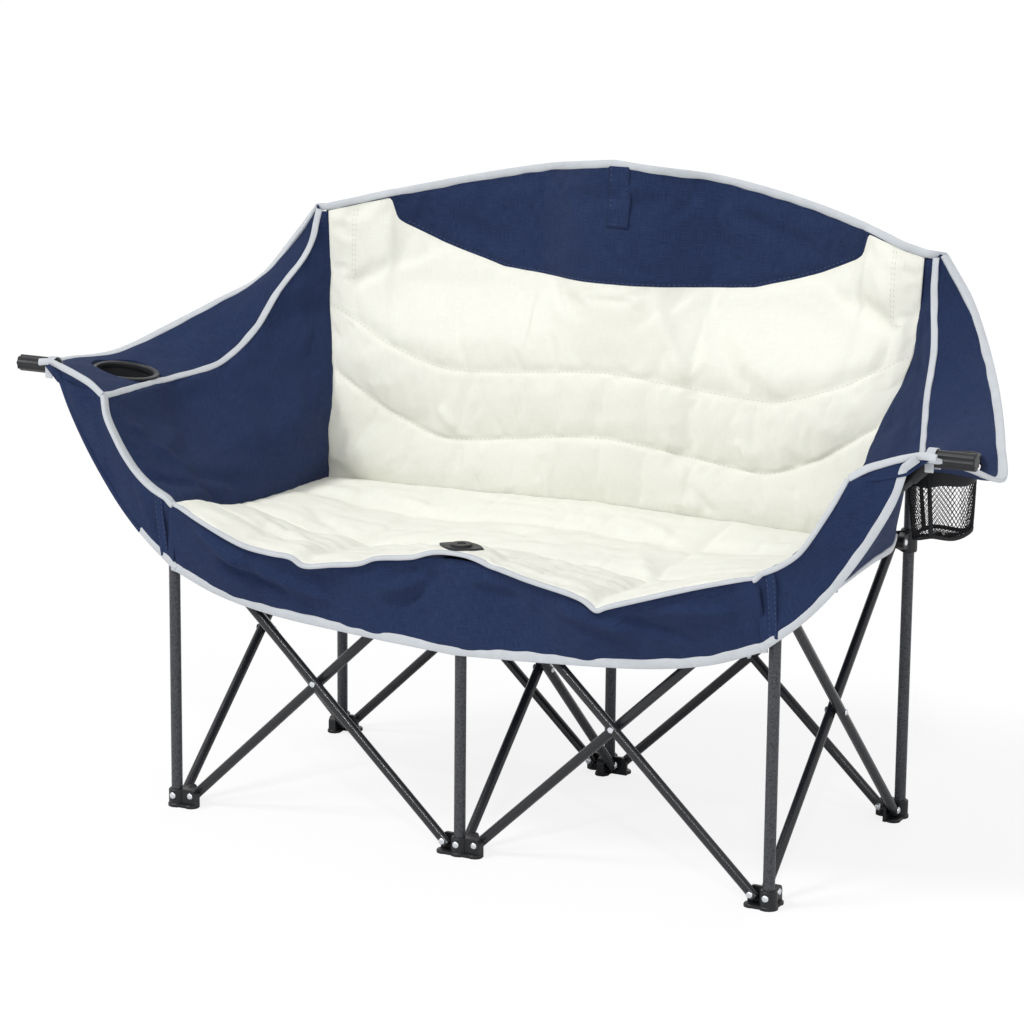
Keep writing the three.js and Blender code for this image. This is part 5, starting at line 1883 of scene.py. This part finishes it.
    def heads_of(
        self, row: str, column: str, kind: str, post: Vector
    ) -> Iterator[tuple[Vector, Vector]]:
        """Yields the place and direction of each rivet head of one foot or hub.

        Args:
            row: The front or rear row.
            column: The left, centre or right post.
            kind: foot or hub.
            post: The post's axis at the pivots' height.
        """
        front, is_foot = row == "front", kind == "foot"
        outward = Vector((0, -1 if front else 1, 0))
        left, right = Vector((-1, 0, 0)), Vector((1, 0, 0))
        is_first = front == is_foot
        if column == "centre":
            arms = [
                (left, outward, is_first),
                (right, outward, not is_first),
                (-outward, left, is_first),
            ]
        else:
            out, back = (left, right) if column == "left" else (right, left)
            first_outer = front == (column == "left")
            side_outer = is_first == (column == "left")
            arms = [(back, outward, first_outer != is_foot), (-outward, out, side_outer)]
        for direction, out, is_outer in arms:
            pivot = post + direction * self.reach
            if is_outer:
                yield pivot + out * (self.tube_radius + self.clearance), out
            else:
                yield pivot + out * self.recess, out
                yield pivot - out * (self.layer + self.tube_radius + self.clearance), -out
        if is_foot:
            yield post + outward * self.housing * 0.97, outward

    def build_head_set(self, node: str, heads: list[tuple[Vector, Vector]]) -> None:
        """Builds the rivet heads of one foot or hub as one piece."""
        shares = ((0, 0), (1, 0), (1, 0.12), (0.93, 0.42), (0.72, 0.78), (0.4, 0.96), (0, 1))
        profile = [(r * self.head_radius, z * self.head_height) for r, z in shares]
        whole = bmesh.new()
        for point, direction in heads:
            single = turned(profile, self.standing(point, point + direction), 20)
            mesh = bpy.data.meshes.new("head")
            single.to_mesh(mesh)
            single.free()
            whole.from_mesh(mesh)
            bpy.data.meshes.remove(mesh)
        piece = finished(f"{node}_rivet_heads", whole, self.palette.zinc, Slot.STEEL)
        ride(self.frame, piece, node)


# The studio


@dataclass(frozen=True)
class Studio:
    """The floor, the light and the camera at the photograph's place.

    Each lamp has its name and strength, where it stands round the object and how high, and how
    broad it looks, in degrees.
    """

    lens: float = 120.035
    sensor: float = 36.0
    azimuth: float = math.radians(27.901017548)
    elevation: float = math.radians(12.341752997)
    roll: float = math.radians(0.544597038)
    station: tuple[float, float, float] = (2.14528269, -4.140889, 1.45509844)
    ambient: float = 0.56
    lamps: tuple = (
        ("key_light", 1.58, -42, 50, 16),
        ("fill_light", 0.35, 62, 22, 60),
        ("spark_light", 0.5, 26, 37, 3),
        ("back_light", 0.35, 190, 35, 40),
    )

    def build(self) -> None:
        """Builds the studio."""
        self.build_camera()
        self.build_world()
        for lamp in self.lamps:
            self.build_lamp(*lamp)
        self.build_floor()

    def facing(self, azimuth: float, elevation: float) -> Vector:
        """Returns the direction from the object to a place round it."""
        flat = math.cos(elevation)
        return Vector((math.sin(azimuth) * flat, -math.cos(azimuth) * flat, math.sin(elevation)))

    def build_camera(self) -> None:
        """Puts the camera where the photograph was taken from."""
        data = bpy.data.cameras.new("photograph")
        data.lens = self.lens
        data.sensor_width = self.sensor
        data.clip_start, data.clip_end = 0.1, 200
        camera = bpy.data.objects.new("photograph", data)
        bpy.context.scene.collection.objects.link(camera)
        back = self.facing(self.azimuth, self.elevation)
        right = Vector((math.cos(self.azimuth), math.sin(self.azimuth), 0))
        up = back.cross(right)
        cos, sin = math.cos(self.roll), math.sin(self.roll)
        axes = Matrix((right * cos + up * sin, up * cos - right * sin, back))
        camera.matrix_world = Matrix.Translation(self.station) @ axes.transposed().to_4x4()
        bpy.context.scene.camera = camera

    def build_world(self) -> None:
        """Gives an even pale light, and white where nothing stands."""
        world = bpy.data.worlds.new("studio")
        world.use_nodes = True
        tree = world.node_tree
        tree.nodes.clear()
        soft, white = (
            add(tree, "Background", {"Color": (1, 1, 1, 1), "Strength": strength})
            for strength in (self.ambient, 1.0)
        )
        rays = add(tree, "LightPath").outputs
        seen = {0: rays["Is Camera Ray"], 1: rays["Is Glossy Ray"]}
        seen = {0: add(tree, "Math", seen, operation="ADD"), 1: rays["Is Transmission Ray"]}
        shown = add(tree, "Math", seen, operation="ADD", use_clamp=True)
        mix = add(tree, "MixShader", {0: shown, 1: soft, 2: white})
        add(tree, "OutputWorld", {"Surface": mix})
        bpy.context.scene.world = world

    def build_lamp(
        self, name: str, strength: float, azimuth: float, elevation: float, breadth: float
    ) -> None:
        """Builds one soft lamp, its angles in degrees."""
        data = bpy.data.lights.new(name, "SUN")
        data.energy = strength
        data.angle = math.radians(breadth)
        lamp = bpy.data.objects.new(name, data)
        bpy.context.scene.collection.objects.link(lamp)
        lamp.rotation_mode = "QUATERNION"
        way = self.facing(math.radians(azimuth), math.radians(elevation))
        lamp.rotation_quaternion = way.to_track_quat("Z", "Y")

    def build_floor(self) -> None:
        """Builds the pale floor."""
        bm = bmesh.new()
        bmesh.ops.create_grid(bm, x_segments=4, y_segments=4, size=60)
        mesh = bpy.data.meshes.new("studio_floor")
        bm.to_mesh(mesh)
        bm.free()
        mesh.materials.append(StudioFloor("white_floor", "#ffffff", "#fdfdfd").build())
        floor = bpy.data.objects.new("studio_floor", mesh)
        bpy.context.scene.collection.objects.link(floor)


def main() -> None:
    """Builds the loveseat over its frame."""
    logging.basicConfig(level=logging.INFO, format="%(message)s")
    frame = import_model()
    low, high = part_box("front_centre_post")
    shape = SlingShape(shift=(low.y + high.y) / 2 + 0.230)
    palette = Palette()
    bpy.context.scene.view_settings.view_transform = "Standard"
    Studio().build()
    sling = Sling(shape, palette, frame)
    sling.build_seat()
    sling.build_back()
    for hand in Hand:
        sling.build_side(hand)
        CupHolder(frame, hand).build(palette)
    FrontCloth(shape, sling, palette).build()
    SteelFrame(frame, palette).build()


if __name__ == "__main__":
    main()
